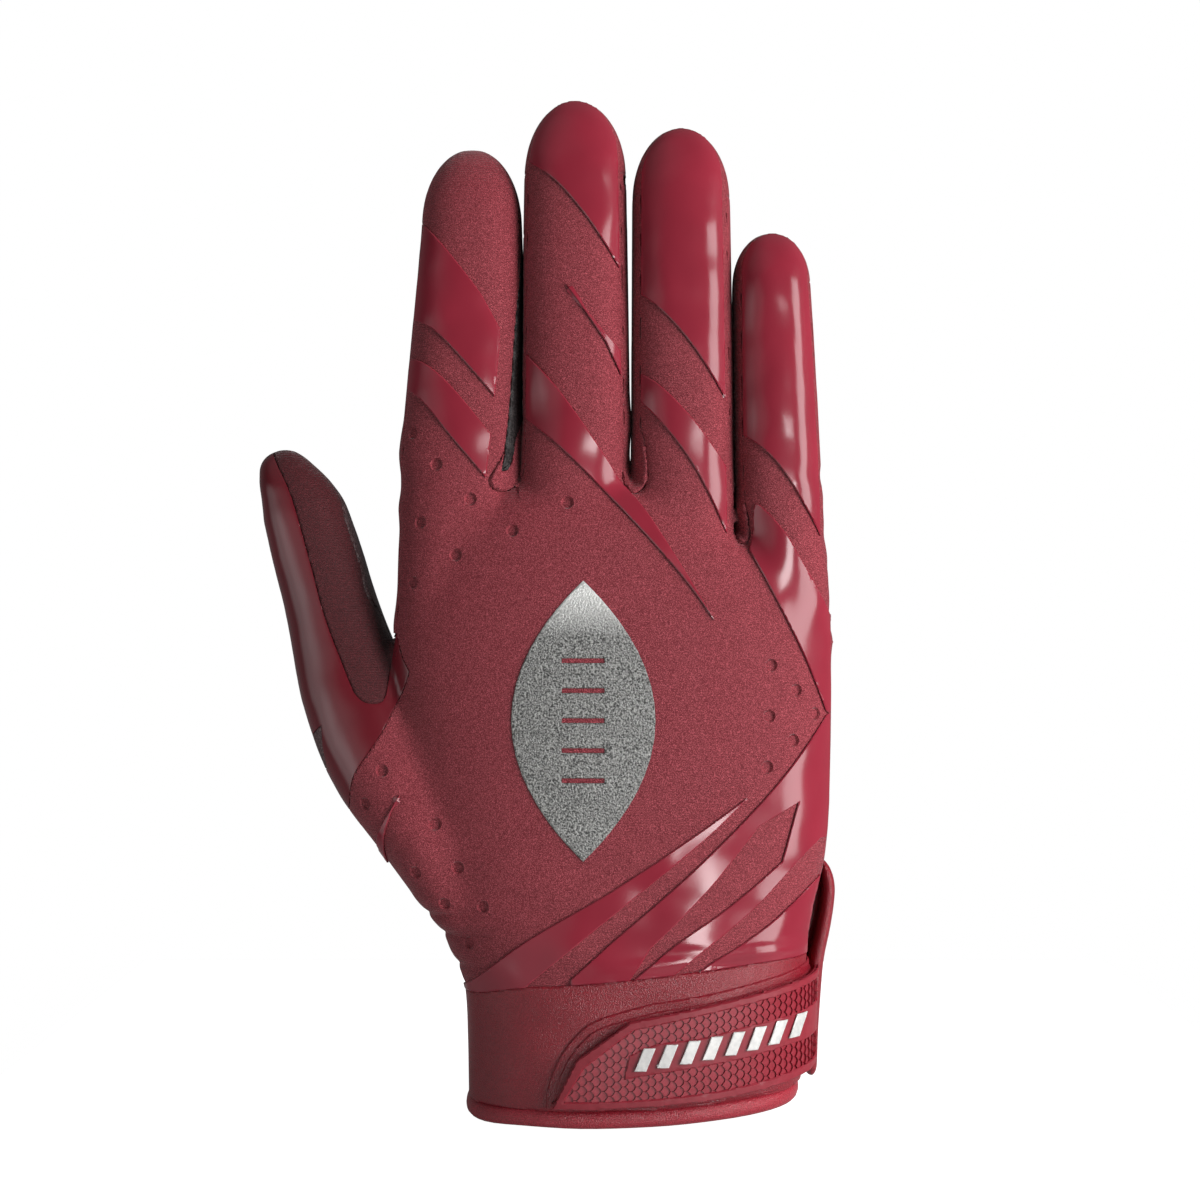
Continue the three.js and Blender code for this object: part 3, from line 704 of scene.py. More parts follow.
def rgb(red, green, blue):
    """The light of a colour given as a paint program gives it."""
    channels = (red, green, blue)
    return tuple(c / 255 / 12.92 if c < 11 else ((c / 255 + 0.055) / 1.055) ** 2.4 for c in channels)


def knit(name, dark, light):
    """Matt knitted polyester: pale specks of its yarns on a darker ground, and faint level rows of loops."""
    made, nodes, links, main, spot = shader(name)
    grain = noise(nodes, links, spot, 5600, 1)
    middle = tuple(0.75 * a + 0.25 * b for a, b in zip(dark, light))
    stops = [(0.4, dark), (0.54, middle), (0.64, light)]
    links.new(ramp(nodes, links, grain, stops), main.inputs["Base Color"])
    rows = nodes.new("ShaderNodeTexWave")
    rows.bands_direction = "Z"
    rows.inputs["Scale"].default_value = 560
    rows.inputs["Distortion"].default_value = 3
    rows.inputs["Detail"].default_value = 1
    rows.inputs["Detail Scale"].default_value = 1.4
    links.new(spot, rows.inputs["Vector"])
    loops = bump(nodes, links, rows.outputs["Fac"], 0.05)
    links.new(bump(nodes, links, grain, 0.16, loops), main.inputs["Normal"])
    main.inputs["Roughness"].default_value = 0.6
    main.inputs["Specular IOR Level"].default_value = 0.4
    main.inputs["Sheen Weight"].default_value = 0.3
    main.inputs["Sheen Roughness"].default_value = 0.35
    return made


knit_red = knit("knit_red", rgb(114, 27, 39), rgb(194, 86, 96))
back_panel = sheet("back_panel_knit", dimpled, back_region, 0.7, 0.3, 1.2)
place(back_panel, knit_red, "knit_fabric", 24, "back_panel")

# Side walls of the fingers: strips of the same knit between the back and the palm. Those between two fingers
# run up one finger, round the web and up the next. They are turned right side out after sewing, so no stitch
# shows.
SIDE_DEPTH = 1.5
WALLS = {  # from the middle of one finger to the middle of the next
    "side_panel_index": (-54.6, -37.8),
    "fourchette_index_middle": (-37.8, -12.8),
    "fourchette_middle_ring": (-12.8, 11),
    "fourchette_ring_little": (11, 32.4),
    "side_panel_little": (32.4, 70),
}


def wall_region(low, high):
    def region(inset):
        sides = [(low + inset, -20), (high - inset, -20), (high - inset, 260), (low + inset, 260)]
        made = block(sides, -70, 50)
        cut(made, front_of(SIDE_DEPTH - inset), "INTERSECT")
        cut(made, block(inset_outline(back_outline(), -inset), -100, 100), "DIFFERENCE")
        cut(made, index_wrap(-inset), "DIFFERENCE")
        cut(made, cuff_side(-inset), "DIFFERENCE")
        return made
    return region


for name, (low, high) in WALLS.items():
    wall = sheet(name + "_knit", skin, wall_region(low, high), 0.5, 0.2, 1.2)
    place(wall, knit_red, "knit_fabric", 50, name)

# Inner side of the thumb: a knitted piece like the back, sewn to the glossy back of the thumb on its left and
# to the palm on its right. It ends in a round saddle between the thumb and the hand. Its knit is painted
# darker than the back's, as painted shade.
THUMB_SEAM = smooth_line([(-79.6, 141.7), (-76, 134.4), (-72, 120.7), (-68.6, 108.4), (-63.3, 95.5)], 4)
THUMB_SADDLE = smooth_line([(-61.4, 91.4), (-59, 89.3), (-55, 89.6), (-54, 95), (-53.4, 101)], 3)
THUMB_STRIP = smooth_line([
    (-54.2, 103), (-55.8, 106.4), (-57.6, 109.8), (-59.8, 113.6), (-60.8, 117.5), (-62, 122.2), (-63.4, 126.3),
    (-64.9, 131.1), (-66, 136),
], 3)


def thumb_side_region(inset):
    line = [(-84, 150), *THUMB_SEAM, *THUMB_SADDLE, *THUMB_STRIP, (-66, 150)]
    return block(inset_outline(line, inset), -60, 5 - inset)


thumb_side = sheet("thumb_side_knit", skin, thumb_side_region, 0.5, 0.35, 1.2)
# The same knit as the back, painted darker as painted shade.
place(thumb_side, knit("knit_painted_shade", rgb(66, 14, 20), rgb(112, 40, 47)), "knit_fabric", 50, "thumb_side")

# Back of the thumb and the web down to the hand: a smooth glossy coated fabric, sewn in like the knit. The
# palm fills a small notch in its outer edge. Its red is painted darker, as painted shade.
THUMB_BACK_DEPTH = 4
THUMB_NOTCH = [(-85, 79), (-71.8, 81.8), (-68.8, 84.3), (-68.7, 79.5), (-68, 74.6), (-75, 68)]


def thumb_back_region(inset):
    line = [(-130, 150), (-84, 150), *THUMB_SEAM, *THUMB_SADDLE, *WEB_EDGE, (-75, 60), (-130, 60)]
    made = block(inset_outline(line, inset), -60, THUMB_BACK_DEPTH - inset)
    cut(made, block(inset_outline(THUMB_NOTCH, -inset), -90, 90), "DIFFERENCE")
    return made


def coated(name, colour, rough, shine=0.6):
    """Smooth coated film with a glossy surface and faint ripples."""
    made, nodes, links, main, spot = shader(name)
    swell = noise(nodes, links, spot, 55, 1)
    shade = noise(nodes, links, spot, 60, 2)
    darker = tuple(0.88 * c for c in colour)
    links.new(ramp(nodes, links, shade, [(0.35, darker), (0.65, colour)]), main.inputs["Base Color"])
    links.new(bump(nodes, links, swell, 1.6), main.inputs["Normal"])
    main.inputs["Roughness"].default_value = rough
    main.inputs["Specular IOR Level"].default_value = shine
    return made


gloss_red = coated("gloss_red", rgb(155, 47, 63), 0.16)
thumb_back = sheet("thumb_back_gloss", skin, thumb_back_region, 0.3, 0.02, 1.2)
# Darker red as painted shade.
place(thumb_back, coated("thumb_gloss_painted_shade", rgb(122, 34, 45), 0.2, 0.85), "gloss_film", 80, "thumb_back")

# Palm: dark tacky silicone-faced fabric in two pieces, one for the thumb and one for the hand and the fingers.
# The hand's piece is painted near black as painted shade, the thumb's piece a paler grey-brown as a painted
# reflection. It wraps the rear half of the fingers' sides, where it is sewn to their walls.
THUMB_PALM = [(-130, 175), (-54, 175), (-54, 104), (-45, 92), (-41, 78), (-46, 64), (-60, 55), (-130, 55)]


def palm_region(inset):
    made = behind(SIDE_DEPTH + inset)
    inner = block(inset_outline(back_outline(), inset), -60, 90)
    cut(inner, behind(inset), "INTERSECT")
    cut(made, inner, "UNION")
    cut(made, index_wrap(inset), "UNION")
    cut(made, block(inset_outline(THUMB_PALM, -inset), -100, 100), "DIFFERENCE")
    cut(made, cuff_side(-inset), "DIFFERENCE")
    return made


def thumb_palm_region(inset):
    made = block(inset_outline(THUMB_PALM, inset), -60, 60)
    for other in (thumb_side_region(-inset), thumb_back_region(-inset)):
        cut(made, other, "DIFFERENCE")
    hand_front = block(inset_outline(back_outline(), -inset), -100, 0)
    left = THUMB_WEB_X + inset
    below_web = [(left, -20), (60, -20), (60, THUMB_WEB_Z), (left, THUMB_WEB_Z)]
    cut(hand_front, block(below_web, -100, 0), "UNION")
    cut(hand_front, block(inset_outline(THUMB_NOTCH, inset), -110, 90), "DIFFERENCE")
    cut(made, hand_front, "DIFFERENCE")
    return made


def grainy(name, scale, detail, stops, relief, rough, shine):
    """A surface with a fine grain, which is as high as it is pale."""
    made, nodes, links, main, spot = shader(name)
    grain = noise(nodes, links, spot, scale, detail)
    links.new(ramp(nodes, links, grain, stops), main.inputs["Base Color"])
    links.new(bump(nodes, links, grain, relief), main.inputs["Normal"])
    main.inputs["Roughness"].default_value = rough
    main.inputs["Specular IOR Level"].default_value = shine
    return made


def tacky(name, dark, light):
    """Dark tacky palm fabric with pale specks."""
    return grainy(name, 2600, 3, [(0.42, dark), (0.68, light)], relief=0.12, rough=0.5, shine=0.4)


# The palm's dark grey, painted near black as painted shade.
tacky_palm_painted_shade = tacky("tacky_palm_painted_shade", rgb(22, 19, 19), rgb(74, 66, 66))
palm = sheet("palm_panel_tacky", skin, palm_region, 0.7, 0.4, 1.2)
place(palm, tacky_palm_painted_shade, "tack_palm", 50, "palm_panel")
thumb_palm = sheet("thumb_palm_tacky", skin, thumb_palm_region, 0.5, 0.35, 1.2)
# The same tacky fabric as the palm, painted paler grey-brown as a painted reflection.
place(thumb_palm, tacky("tacky_thumb_painted_reflection", rgb(76, 52, 54), rgb(140, 112, 114)), "tack_palm", 50, "thumb_palm")

# Glossy films on the back: thin polyurethane shapes welded onto the knit, some as tips and bands on the
# fingers, the others as slashes that run over the hand to the wrist. Their edges stand up as a thin step.
FILM_LIFT, FILM_EDGE, FILM_DIP, FILM_THICKNESS = 0.5, 0.22, 0.16, 0.9
FINGER_FILMS = {
    "index_upper": ("index", [(-50, 199), (-42.5, 190.7), (-34.7, 180.8), (-31.5, 175.5), (-22, 158)],
                    [(-52, 175), (-44.6, 171.7), (-36.7, 163.7), (-28, 153.5), (-22, 146)]),
    "index_lower": ("index", [(-53, 167), (-45, 163.2), (-36.7, 154.9), (-22, 136)],
                    [(-53, 160), (-46.8, 155.8), (-40.2, 147.8), (-31, 137), (-22, 126)]),
    "middle_tip": ("middle", [(-28, 230), (2, 230)],
                   [(-28, 213), (-17.8, 205.1), (-10.5, 196.6), (-4, 187), (1, 179)]),
    "ring_tip": ("ring", [(-3, 225), (25, 225)], [(-3, 182), (4.5, 177), (13.6, 166.6), (24, 150)]),
    "ring_band": ("ring", [(-3, 163.5), (4.4, 159.8), (13.6, 150.5), (24, 136)],
                  [(-3, 159.5), (5.1, 151.6), (14, 139.5), (24, 119)]),
    "little_tip": ("little", [(21, 200), (46, 200)], [(21, 150), (28.4, 144.8), (34.7, 136.9), (47, 116)]),
}
HAND_FILMS = {
    "middle_swoosh": (
        [(-25.5, 167.8), (-16.2, 157.5), (-6.1, 143.1), (-2.6, 137.6), (3.6, 129.9), (17.1, 108)],
        [(-25.5, 153), (-16.1, 145.2), (-2.9, 131.9), (10, 117.4), (17.1, 107.6)]),
    "wrist_upper": ([(-46, 20.5), (-38, 27), (-23.6, 38.8), (-4.6, 50), (11.8, 60.7), (24.2, 69.3)],
                    [(-46, 8), (-23.4, 29.3), (-1.9, 46.9), (14.4, 60), (24.2, 69)]),
}


def slash(upper, lower):
    """A film's outline between its upper and its lower edge, both drawn from left to right."""
    return smooth_line(upper, 5) + smooth_line(lower, 5)[::-1]


def film_region(outline, limit):
    def region(inset):
        made = block(inset_outline(outline, inset), -60, 30)
        cut(made, block(limit(inset), -70, 40), "INTERSECT")
        cut(made, front_of(-0.5 - inset), "INTERSECT")
        cut(made, cuff_side(-inset), "DIFFERENCE")
        return made
    return region


def hand_limit(inset):
    right = hand_edge(1, inset + 0.6, -12, 136)
    left = hand_edge(-1, inset + 0.2, -12, 136)
    return right + [(20, 260), (-60, 260)] + left[::-1]


def add_film(name, region):
    film = sheet(name + "_film", raised, region, FILM_EDGE, FILM_DIP, FILM_THICKNESS)
    place(film, gloss_red, "gloss_film", 30, "overlay_" + name)


raised = lifted(skin, FILM_LIFT)
for name, (finger_name, upper, lower) in FINGER_FILMS.items():
    finger = FINGERS[finger_name]
    add_film(name, film_region(slash(upper, lower), lambda inset, finger=finger: film_limit(finger, inset)))


def swoosh_limit(inset):
    return [(-23.9 + inset, 60), (60, 60), (60, 250), (-23.9 + inset, 250)]


def no_limit(inset):
    return [(-100, 20), (100, 20), (100, 250), (-100, 250)]


for name, (upper, lower) in HAND_FILMS.items():
    add_film(name, film_region(slash(upper, lower), hand_limit if name == "wrist_upper" else swoosh_limit))

LITTLE_SIDE = (
    smooth_line([(26, 127), (26.4, 132.6), (28.7, 131.4), (33, 126.5), (36.1, 121.4), (43.5, 109)], 4)
    + [(50, 100), (50, 90), (43.2, 86.9)]
    + smooth_line([(42.4, 87.5), (37.3, 99.4), (31.6, 110.7), (25.2, 122.8)], 4)
)
WRIST_LOWER = (
    [(43.2, 86.8), (50, 84), (50, 52.6), (43.1, 59.6)]
    + smooth_line([(40.9, 59.6), (35.7, 55.4), (25.4, 45.4), (13.8, 36.6), (4, 29)], 4)
    + [(-14, 26)]
    + smooth_line([(-13.6, 31.4), (-4.6, 39.4), (10.5, 52.1), (24.4, 65.2), (34, 75.6), (42.4, 86.5)], 4)
)
BARE_ISLAND = [
    (35.7, 68), *smooth_line([(31.9, 55.4), (19.9, 46), (8.9, 38.8), (-2, 30)], 4),
    *smooth_line([(3.4, 38), (10.5, 44.6), (17.6, 52), (26.8, 63.2)], 4),
]
WRIST_CORNER = [
    (43.1, 52.6), *smooth_line([(38.8, 49.7), (28.2, 41.5), (17, 35.1), (8, 29)], 4), (50, 25), (50, 52.6),
]
MIDDLE_SLIVER = [(-14.9, 181.3), (-7.4, 171.8), (-2.2, 166.3), (-2.2, 160.5), (-6.1, 168.5)]
THUMB_SLIVER = smooth_line([(-50.8, 69.6), (-55.2, 62.4), (-56.6, 57.9), (-54.4, 53.5)], 4) + smooth_line(
    [(-54.4, 53.5), (-54.6, 59.3), (-52.6, 65.8), (-50.8, 69.6)], 4)[1:-1]

add_film("little_side", film_region(LITTLE_SIDE, hand_limit))
add_film("wrist_corner", film_region(WRIST_CORNER, hand_limit))
add_film("thumb_sliver", film_region(THUMB_SLIVER, no_limit))
middle = FINGERS["middle"]
add_film("middle_sliver", film_region(MIDDLE_SLIVER, lambda inset: film_limit(middle, inset)))


def wrist_lower_region(inset):
    made = film_region(WRIST_LOWER, hand_limit)(inset)
    cut(made, block(inset_outline(BARE_ISLAND, -inset), -90, 60), "DIFFERENCE")
    return made


add_film("wrist_lower", wrist_lower_region)

# Emblem: a plain silver ball shape with five lace slots, cut from thin metallic foil with a sandy surface and
# pressed onto the knit with heat. Its top is painted a paler silver, as a painted highlight.
EMBLEM_X, EMBLEM_Z, EMBLEM_WIDTH, EMBLEM_HEIGHT = -11, 86, 15.5, 30
LACES, LACE_PITCH, LACE_WIDTH, LACE_HEIGHT = 5, 6.4, 4.6, 1
TOP_HIGHLIGHT_FROM, TOP_HIGHLIGHT_FULL = 0.104, 0.114  # heights, in metres, where the painted highlight at the top begins and is full


def bar(x, z, wide, high, lean):
    """The corners of a bar round that middle, of that half width and half height. It may lean to the right."""
    return [(x - wide - lean, z - high), (x + wide - lean, z - high), (x + wide + lean, z + high),
            (x - wide + lean, z + high)]


def emblem_region(inset):
    wide, high = EMBLEM_WIDTH - inset, EMBLEM_HEIGHT - 2 * inset
    side = [math.sin(math.pi / 2 * i / 12) for i in range(-12, 13)]
    right = [(EMBLEM_X + wide * (1 - s * s), EMBLEM_Z + high * s) for s in side]
    left = [(2 * EMBLEM_X - x, z) for x, z in right[1:-1]]
    made = block(right + left[::-1], -60, 0)
    for i in range(LACES):
        z = EMBLEM_Z + (i - (LACES - 1) / 2) * LACE_PITCH
        slot = bar(EMBLEM_X, z, LACE_WIDTH + inset, LACE_HEIGHT / 2 + inset, 0)
        cut(made, block(slot, -90, 30), "DIFFERENCE")
    return made


def foil(name, dark, light):
    """Silver foil with a sandy surface that glints in specks, and a painted highlight that pales it towards
    its top.
    """
    made, nodes, links, main, spot = shader(name)
    grain = noise(nodes, links, spot, 2600, 3)
    sand = ramp(nodes, links, grain, [(0.35, dark), (0.65, light)])
    parts = nodes.new("ShaderNodeSeparateXYZ")
    links.new(spot, parts.inputs["Vector"])
    # Painted highlight: the colour turns to near white above these heights.
    height = nodes.new("ShaderNodeMapRange")
    height.inputs["From Min"].default_value = TOP_HIGHLIGHT_FROM
    height.inputs["From Max"].default_value = TOP_HIGHLIGHT_FULL
    links.new(parts.outputs["Z"], height.inputs["Value"])
    top_highlight = nodes.new("ShaderNodeMix")
    top_highlight.data_type = "RGBA"
    links.new(height.outputs["Result"], top_highlight.inputs["Factor"])
    links.new(sand, top_highlight.inputs["A"])
    top_highlight.inputs["B"].default_value = (*rgb(240, 240, 237), 1)
    links.new(top_highlight.outputs["Result"], main.inputs["Base Color"])
    links.new(bump(nodes, links, grain, 0.3), main.inputs["Normal"])
    main.inputs["Metallic"].default_value = 0.7
    main.inputs["Roughness"].default_value = 0.42
    return made


silver_foil = foil("silver_foil", rgb(72, 72, 71), rgb(178, 178, 175))
emblem = raised_sheet("ball_emblem", skin, 0.3, emblem_region, 0.18, 0.12, 0.6)
place(emblem, silver_foil, "silver_print", 30, "emblem")

# Wrist band: fine pebbled synthetic leather, sewn to the knit with a seam that rises to the right. It runs
# round the wrist to a slit at the little finger's side, which lets the hand in.
HEM_TOP = [(-90, 3), (-36, 2.6), (-24, 3.6), (-10, 3.8), (5, 4.4), (20, 5.4), (34, 6), (90, 6)]


def pebbled(name, dark, light):
    """Synthetic leather with a fine orange-peel grain and a soft shine."""
    return grainy(name, 4800, 0, [(0.35, dark), (0.7, light)], relief=0.13, rough=0.3, shine=0.65)


cuff_red = pebbled("cuff_red", rgb(126, 20, 35), rgb(157, 34, 49))


def cuff_region(inset):
    made = cuff_side(inset)
    seam = [(x, z + inset) for x, z in HEM_TOP]
    cut(made, block([*seam, (90, -60), (-90, -60)], -100, 100), "DIFFERENCE")
    slit = [(-4.5, -20), (-0.3, -20), (-0.3, 46), (-2, 51), (-4.5, 46)]
    cut(made, block(inset_outline(slit, -inset), 20, 60, "X"), "DIFFERENCE")
    return made


cuff_band = sheet("cuff_band_leather", skin, cuff_region, 0.6, 0.35, 1.6)
place(cuff_band, cuff_red, "cuff_leather", 50, "cuff_band")

# Hem of the wrist band: the same leather, folded over the band's edge and sewn down on the inside. It makes a
# soft roll all round the opening, painted a little brighter than the band as painted light.
HEM_ROLL = [
    (3.7, -0.35), (3.2, 0.1), (2.4, 0.4), (1.5, 0.5), (0.7, 0.35), (0.15, -0.1), (0, -0.7), (0.1, -1.2),
    (0.6, -1.7), (1.6, -1.9), (3.7, -1.9),
]


def ring_roll(name, profile):
    """A closed roll that follows the wrist: height and distance outwards for each line round it."""
    sections = []
    for z, out in profile:
        left, right, depth = (curve_at(HAND, z, column) for column in (1, 2, 3))
        sections.append(((left + right) / 2, 0, z, (right - left) / 2 + out, depth + out, 0))
    made = tube(name, sections)
    bpy.ops.object.mode_set(mode="EDIT")
    bpy.ops.mesh.select_all(action="DESELECT")
    bpy.ops.mesh.select_face_by_sides(number=4, type="GREATER")
    bpy.ops.mesh.delete(type="FACE")
    select_open_edges()
    bpy.ops.mesh.bridge_edge_loops()
    bpy.ops.mesh.select_all(action="SELECT")
    bpy.ops.mesh.normals_make_consistent(inside=False)
    bpy.ops.object.mode_set(mode="OBJECT")
    for vertex in made.data.vertices:
        vertex.co.z += (curve_at(HEM_TOP, vertex.co.x / MM) - profile[0][0] + 0.1) * MM
    return made


hem = ring_roll("cuff_hem_roll", HEM_ROLL)
# The same leather, painted brighter as painted light on the roll's downward side.
place(hem, pebbled("hem_red_painted_light", rgb(150, 30, 45), rgb(188, 54, 70)), "cuff_leather", 60, "cuff_hem")

# Loop patch: two low layers of leather on the wrist band, where the strap closes. The upper one is smaller all
# round, so the edge shows as two steps. Both are glued and sewn to the band.
PATCH_LIFT, PATCH_STEP, PATCH_MARGIN = 0.45, 0.35, 1.7
PATCH = (
    smooth_line([(-19, 4.4), (-18.3, 9.4), (-15.8, 15.6), (-11.8, 20.6), (-8, 23.2), (-2, 25.1)], 4)
    + smooth_line([(4, 26.6), (17, 28.6), (28, 30.6), (37.5, 32.2), (46, 33)], 3)
    + [(60, 34), (60, 6.6), (34, 6.6), (20, 6), (5, 5), (-10, 4.4)]
)


def patch_region(margin):
    def region(inset):
        return block(inset_outline(inset_outline(PATCH, margin), inset), -60, 1 - inset)
    return region


patch = raised_sheet("loop_patch_leather", skin, PATCH_LIFT, patch_region(0), 0.35, 0.4, 0.7)
place(patch, cuff_red, "cuff_leather", 50, "loop_patch")
top_lift = PATCH_LIFT + PATCH_STEP
patch_top = raised_sheet("loop_patch_top", skin, top_lift, patch_region(PATCH_MARGIN), 0.35, 0.4, 0.7)
place(patch_top, cuff_red, "cuff_leather", 50)

# Closing strap: a moulded rubber tab that wraps the wrist from the little finger's side and grips the patch. A
# flat frame runs round a sunken field, which a smooth band crosses.
STRAP_FORM = [  # height, left edge, right edge, half depth
    (-8, -40, 39.8, 24), (4, -40, 40, 23.9), (14, -39.8, 40.2, 23.6), (24, -39.6, 40.5, 23.1),
    (33, -39.4, 40.8, 22.6), (42, -39.2, 41, 22.1),
]
STRAP = [
    (-17.5, 4.9), (-12.3, 15.3), (-1, 23.3), (11.6, 25.7), (22.5, 27.8), (33, 29.6), (45, 31.6), (45, 11),
    (36, 9.6), (28, 8.4), (17.5, 7), (6, 6), (-5, 5.3),
]
FIELD = [
    (-15, 6.6), (-10.7, 13.7), (-0.4, 21.6), (11.5, 24.1), (27, 27), (45, 29.9), (45, 12.9), (36, 11.5),
    (28, 10.2), (17, 8.7), (6, 7.6), (-5, 6.9),
]
BAND = [
    *smooth_line([(-1.4, 16.4), (4.8, 18.9), (14.2, 19.9), (22, 21.6), (29, 22.6), (35.5, 23.4), (45, 25)], 3),
    *smooth_line([
        (45, 17.6), (38.5, 17.2), (31.1, 16.6), (22.8, 15.2), (15, 14.1), (7.3, 13), (1.8, 12.2), (-2.4, 11.4),
    ], 3),
]


def strap_region(inset):
    return block(inset_outline(STRAP, inset), -60, -2 - inset)


def frame_region(inset):
    made = strap_region(inset)
    cut(made, block(inset_outline(FIELD, -inset), -90, 40), "DIFFERENCE")
    return made


strap_stops = [(0.3, rgb(140, 32, 46)), (0.7, rgb(152, 42, 56))]
strap_red = grainy("strap_red", 700, 2, strap_stops, relief=0.05, rough=0.45, shine=0.5)
STRAP_LOW, STRAP_TOP, STRAP_STEPS = -7, 41, 25
strap_rows = []
for i in range(STRAP_STEPS + 1):
    z = mix(STRAP_LOW, STRAP_TOP, i / STRAP_STEPS)
    left, right, depth = (curve_at(STRAP_FORM, z, column) for column in (1, 2, 3))
    strap_rows.append(((left + right) / 2, 0, z, (right - left) / 2, depth, 0))
strap_skin = tube("strap_skin", strap_rows)
strap_skin.data.materials.append(bpy.data.materials.new("strap_face"))
apply_to(strap_skin, "REMESH", mode="VOXEL", voxel_size=VOXEL * MM)
apply_to(strap_skin, "SMOOTH", iterations=SMOOTHING, factor=0.5)
strap_plate = sheet("strap_plate", strap_skin, strap_region, 0.4, 0.3, 1.5)
place(strap_plate, strap_red, "strap_relief", 40, "strap")
strap_frame = raised_sheet("strap_frame", strap_skin, 0.58, frame_region, 0.3, 0.25, 0.7)
place(strap_frame, strap_red, "strap_relief", 30)

# Fish scales of the strap's field: low sloped tiles of the same rubber, moulded in one with the strap. They
# stand in columns, each half a scale higher than the one before, and leave the band free.
SCALE_PITCH, SCALE_ARC, SCALE_HIGH, SCALE_STANDS, SCALE_SLOPE = 1.45, 0.75, 2, 0.5, 0.42
FIELD_LEFT, FIELD_RIGHT, FIELD_LOW, FIELD_ROWS = -18, 41, 2, 18


def one_scale():
    """A tile with a round right side. Its left side fits between two neighbours and stands higher."""
    half = SCALE_HIGH / 2
    arc = [(SCALE_ARC * (1 - s * s), half * s) for s in (-1, -0.75, -0.5, -0.25, 0, 0.25, 0.5, 0.75, 1)]
    low = [(SCALE_ARC * (1 - s * s) - SCALE_PITCH, half * (1 - s)) for s in (0, 0.25, 0.5, 0.75, 1)]
    up = [(x, -z) for x, z in low[-2::-1]]
    made = block(inset_outline(arc + low + up, 0.04), -SCALE_STANDS, 0.3)
    for vertex in made.data.vertices:
        if vertex.co.y < 0:
            vertex.co.y += SCALE_SLOPE * (vertex.co.x / MM + SCALE_PITCH) / (SCALE_PITCH + SCALE_ARC) * MM
    return made


pattern = one_scale()
scales = []
x, column = FIELD_LEFT, 0
while x < FIELD_RIGHT:
    hit, _, normal, _ = strap_skin.ray_cast((x * MM, -0.1, 0.018), (0, 1, 0))
    if not hit:
        break
    for row in range(FIELD_ROWS):
        z = FIELD_LOW + (row + column % 2 / 2) * SCALE_HIGH
        if not inside(inset_outline(FIELD, -0.9), x, z) or inside(inset_outline(BAND, 1), x, z):
            continue
        _, point, normal, _ = strap_skin.ray_cast((x * MM, -0.1, z * MM), (0, 1, 0))
        scale = twin(pattern, "scale")
        scale.rotation_euler = (-normal).to_track_quat("Y", "Z").to_euler()
        scale.location = point
        scales.append(scale)
    x += SCALE_PITCH * max(0.25, abs(normal.y))
    column += 1
bpy.data.objects.remove(pattern)
scales = join(scales)
scales.name = "strap_scales"
bpy.ops.object.transform_apply()
place(scales, strap_red, "strap_relief", 20)


def band_region(inset):
    return block(inset_outline(BAND, inset), -60, -3)


strap_band = raised_sheet("strap_band", strap_skin, 0.5, band_region, 0.3, 0.2, 0.6)
place(strap_band, strap_red, "strap_relief", 30)

# Silver bars on the band: plain leaning bars in a row, pressed from thin plastic with a silver face and welded
# onto the rubber.
BARS, BAR_PITCH, BAR_RISE, BAR_WIDE, BAR_HIGH, BAR_LEAN = 8, 4.75, 0.72, 2.5, 4.8, 2
FIRST_BAR = (2, 15.7)


def bars_region(inset):
    wide, high = BAR_WIDE / 2 - inset, BAR_HIGH / 2 - inset
    made = None
    for i in range(BARS):
        x, z = FIRST_BAR[0] + i * BAR_PITCH, FIRST_BAR[1] + i * BAR_RISE
        tool = block(bar(x, z, wide, high, BAR_LEAN / 2), -60, -3)
        if made:
            cut(made, tool, "UNION")
        else:
            made = tool
    return made


def silver(name):
    made, nodes, links, main, spot = shader(name)
    grain = noise(nodes, links, spot, 900, 2)
    stops = [(0.3, rgb(214, 214, 212)), (0.7, rgb(236, 235, 232))]
    links.new(ramp(nodes, links, grain, stops), main.inputs["Base Color"])
    main.inputs["Metallic"].default_value = 0.25
    main.inputs["Roughness"].default_value = 0.35
    return made


bars = raised_sheet("strap_bars", strap_skin, 1, bars_region, 0.15, 0.12, 0.75)
place(bars, silver("silver_plastic"), "silver_print", 30)

# Folded edge beside the slit: a strip of the pebbled leather, folded into a roll and sewn on by a narrow web.
# It stands out along the little finger's side.
FLAP = [  # height, x and y of its middle, half width, half depth
    (4.6, 40.2, 4.4, 0.6, 2), (5.4, 40, 4.4, 1.4, 3), (8, 39.9, 4.4, 1.7, 3.6), (14, 40.1, 4.4, 1.7, 3.7),
    (22, 40.6, 4.4, 1.7, 3.7), (31, 41.4, 4.4, 1.7, 3.7), (38, 42.9, 4.3, 1.6, 3.7), (44, 43.9, 4.2, 1.5, 3.6),
    (48, 44.1, 4, 1.4, 3.4), (51.5, 43.4, 3.8, 1.1, 2.8), (53.4, 42.6, 3.6, 0.5, 1.6),
]
FLAP_STEPS = 29
flap_rows, web_rows = [], []
for i in range(FLAP_STEPS + 1):
    z = mix(FLAP[0][0], FLAP[-1][0], i / FLAP_STEPS)
    x, y, width, depth = (curve_at(FLAP, z, column) for column in (1, 2, 3, 4))
    flap_rows.append((x, y, z, max(width, 0.4), max(depth, LEAST_DEPTH), 0))
    if 0 < i < FLAP_STEPS:
        web_rows.append((x - 2.6, y + 2.8, z, 3.4 * min(1, width / 1.6), 0.9, 0))
flap = tube("vent_flap_leather", flap_rows)
flap_web = tube("flap_web", web_rows)
for part in (flap, flap_web):
    part.data.materials.append(cut_face)
cut(flap, flap_web, "UNION")
apply_to(flap, "REMESH", mode="VOXEL", voxel_size=0.5 * MM)
apply_to(flap, "SMOOTH", iterations=8, factor=0.5)
place(flap, cuff_red, "cuff_leather", 60, "vent_flap")
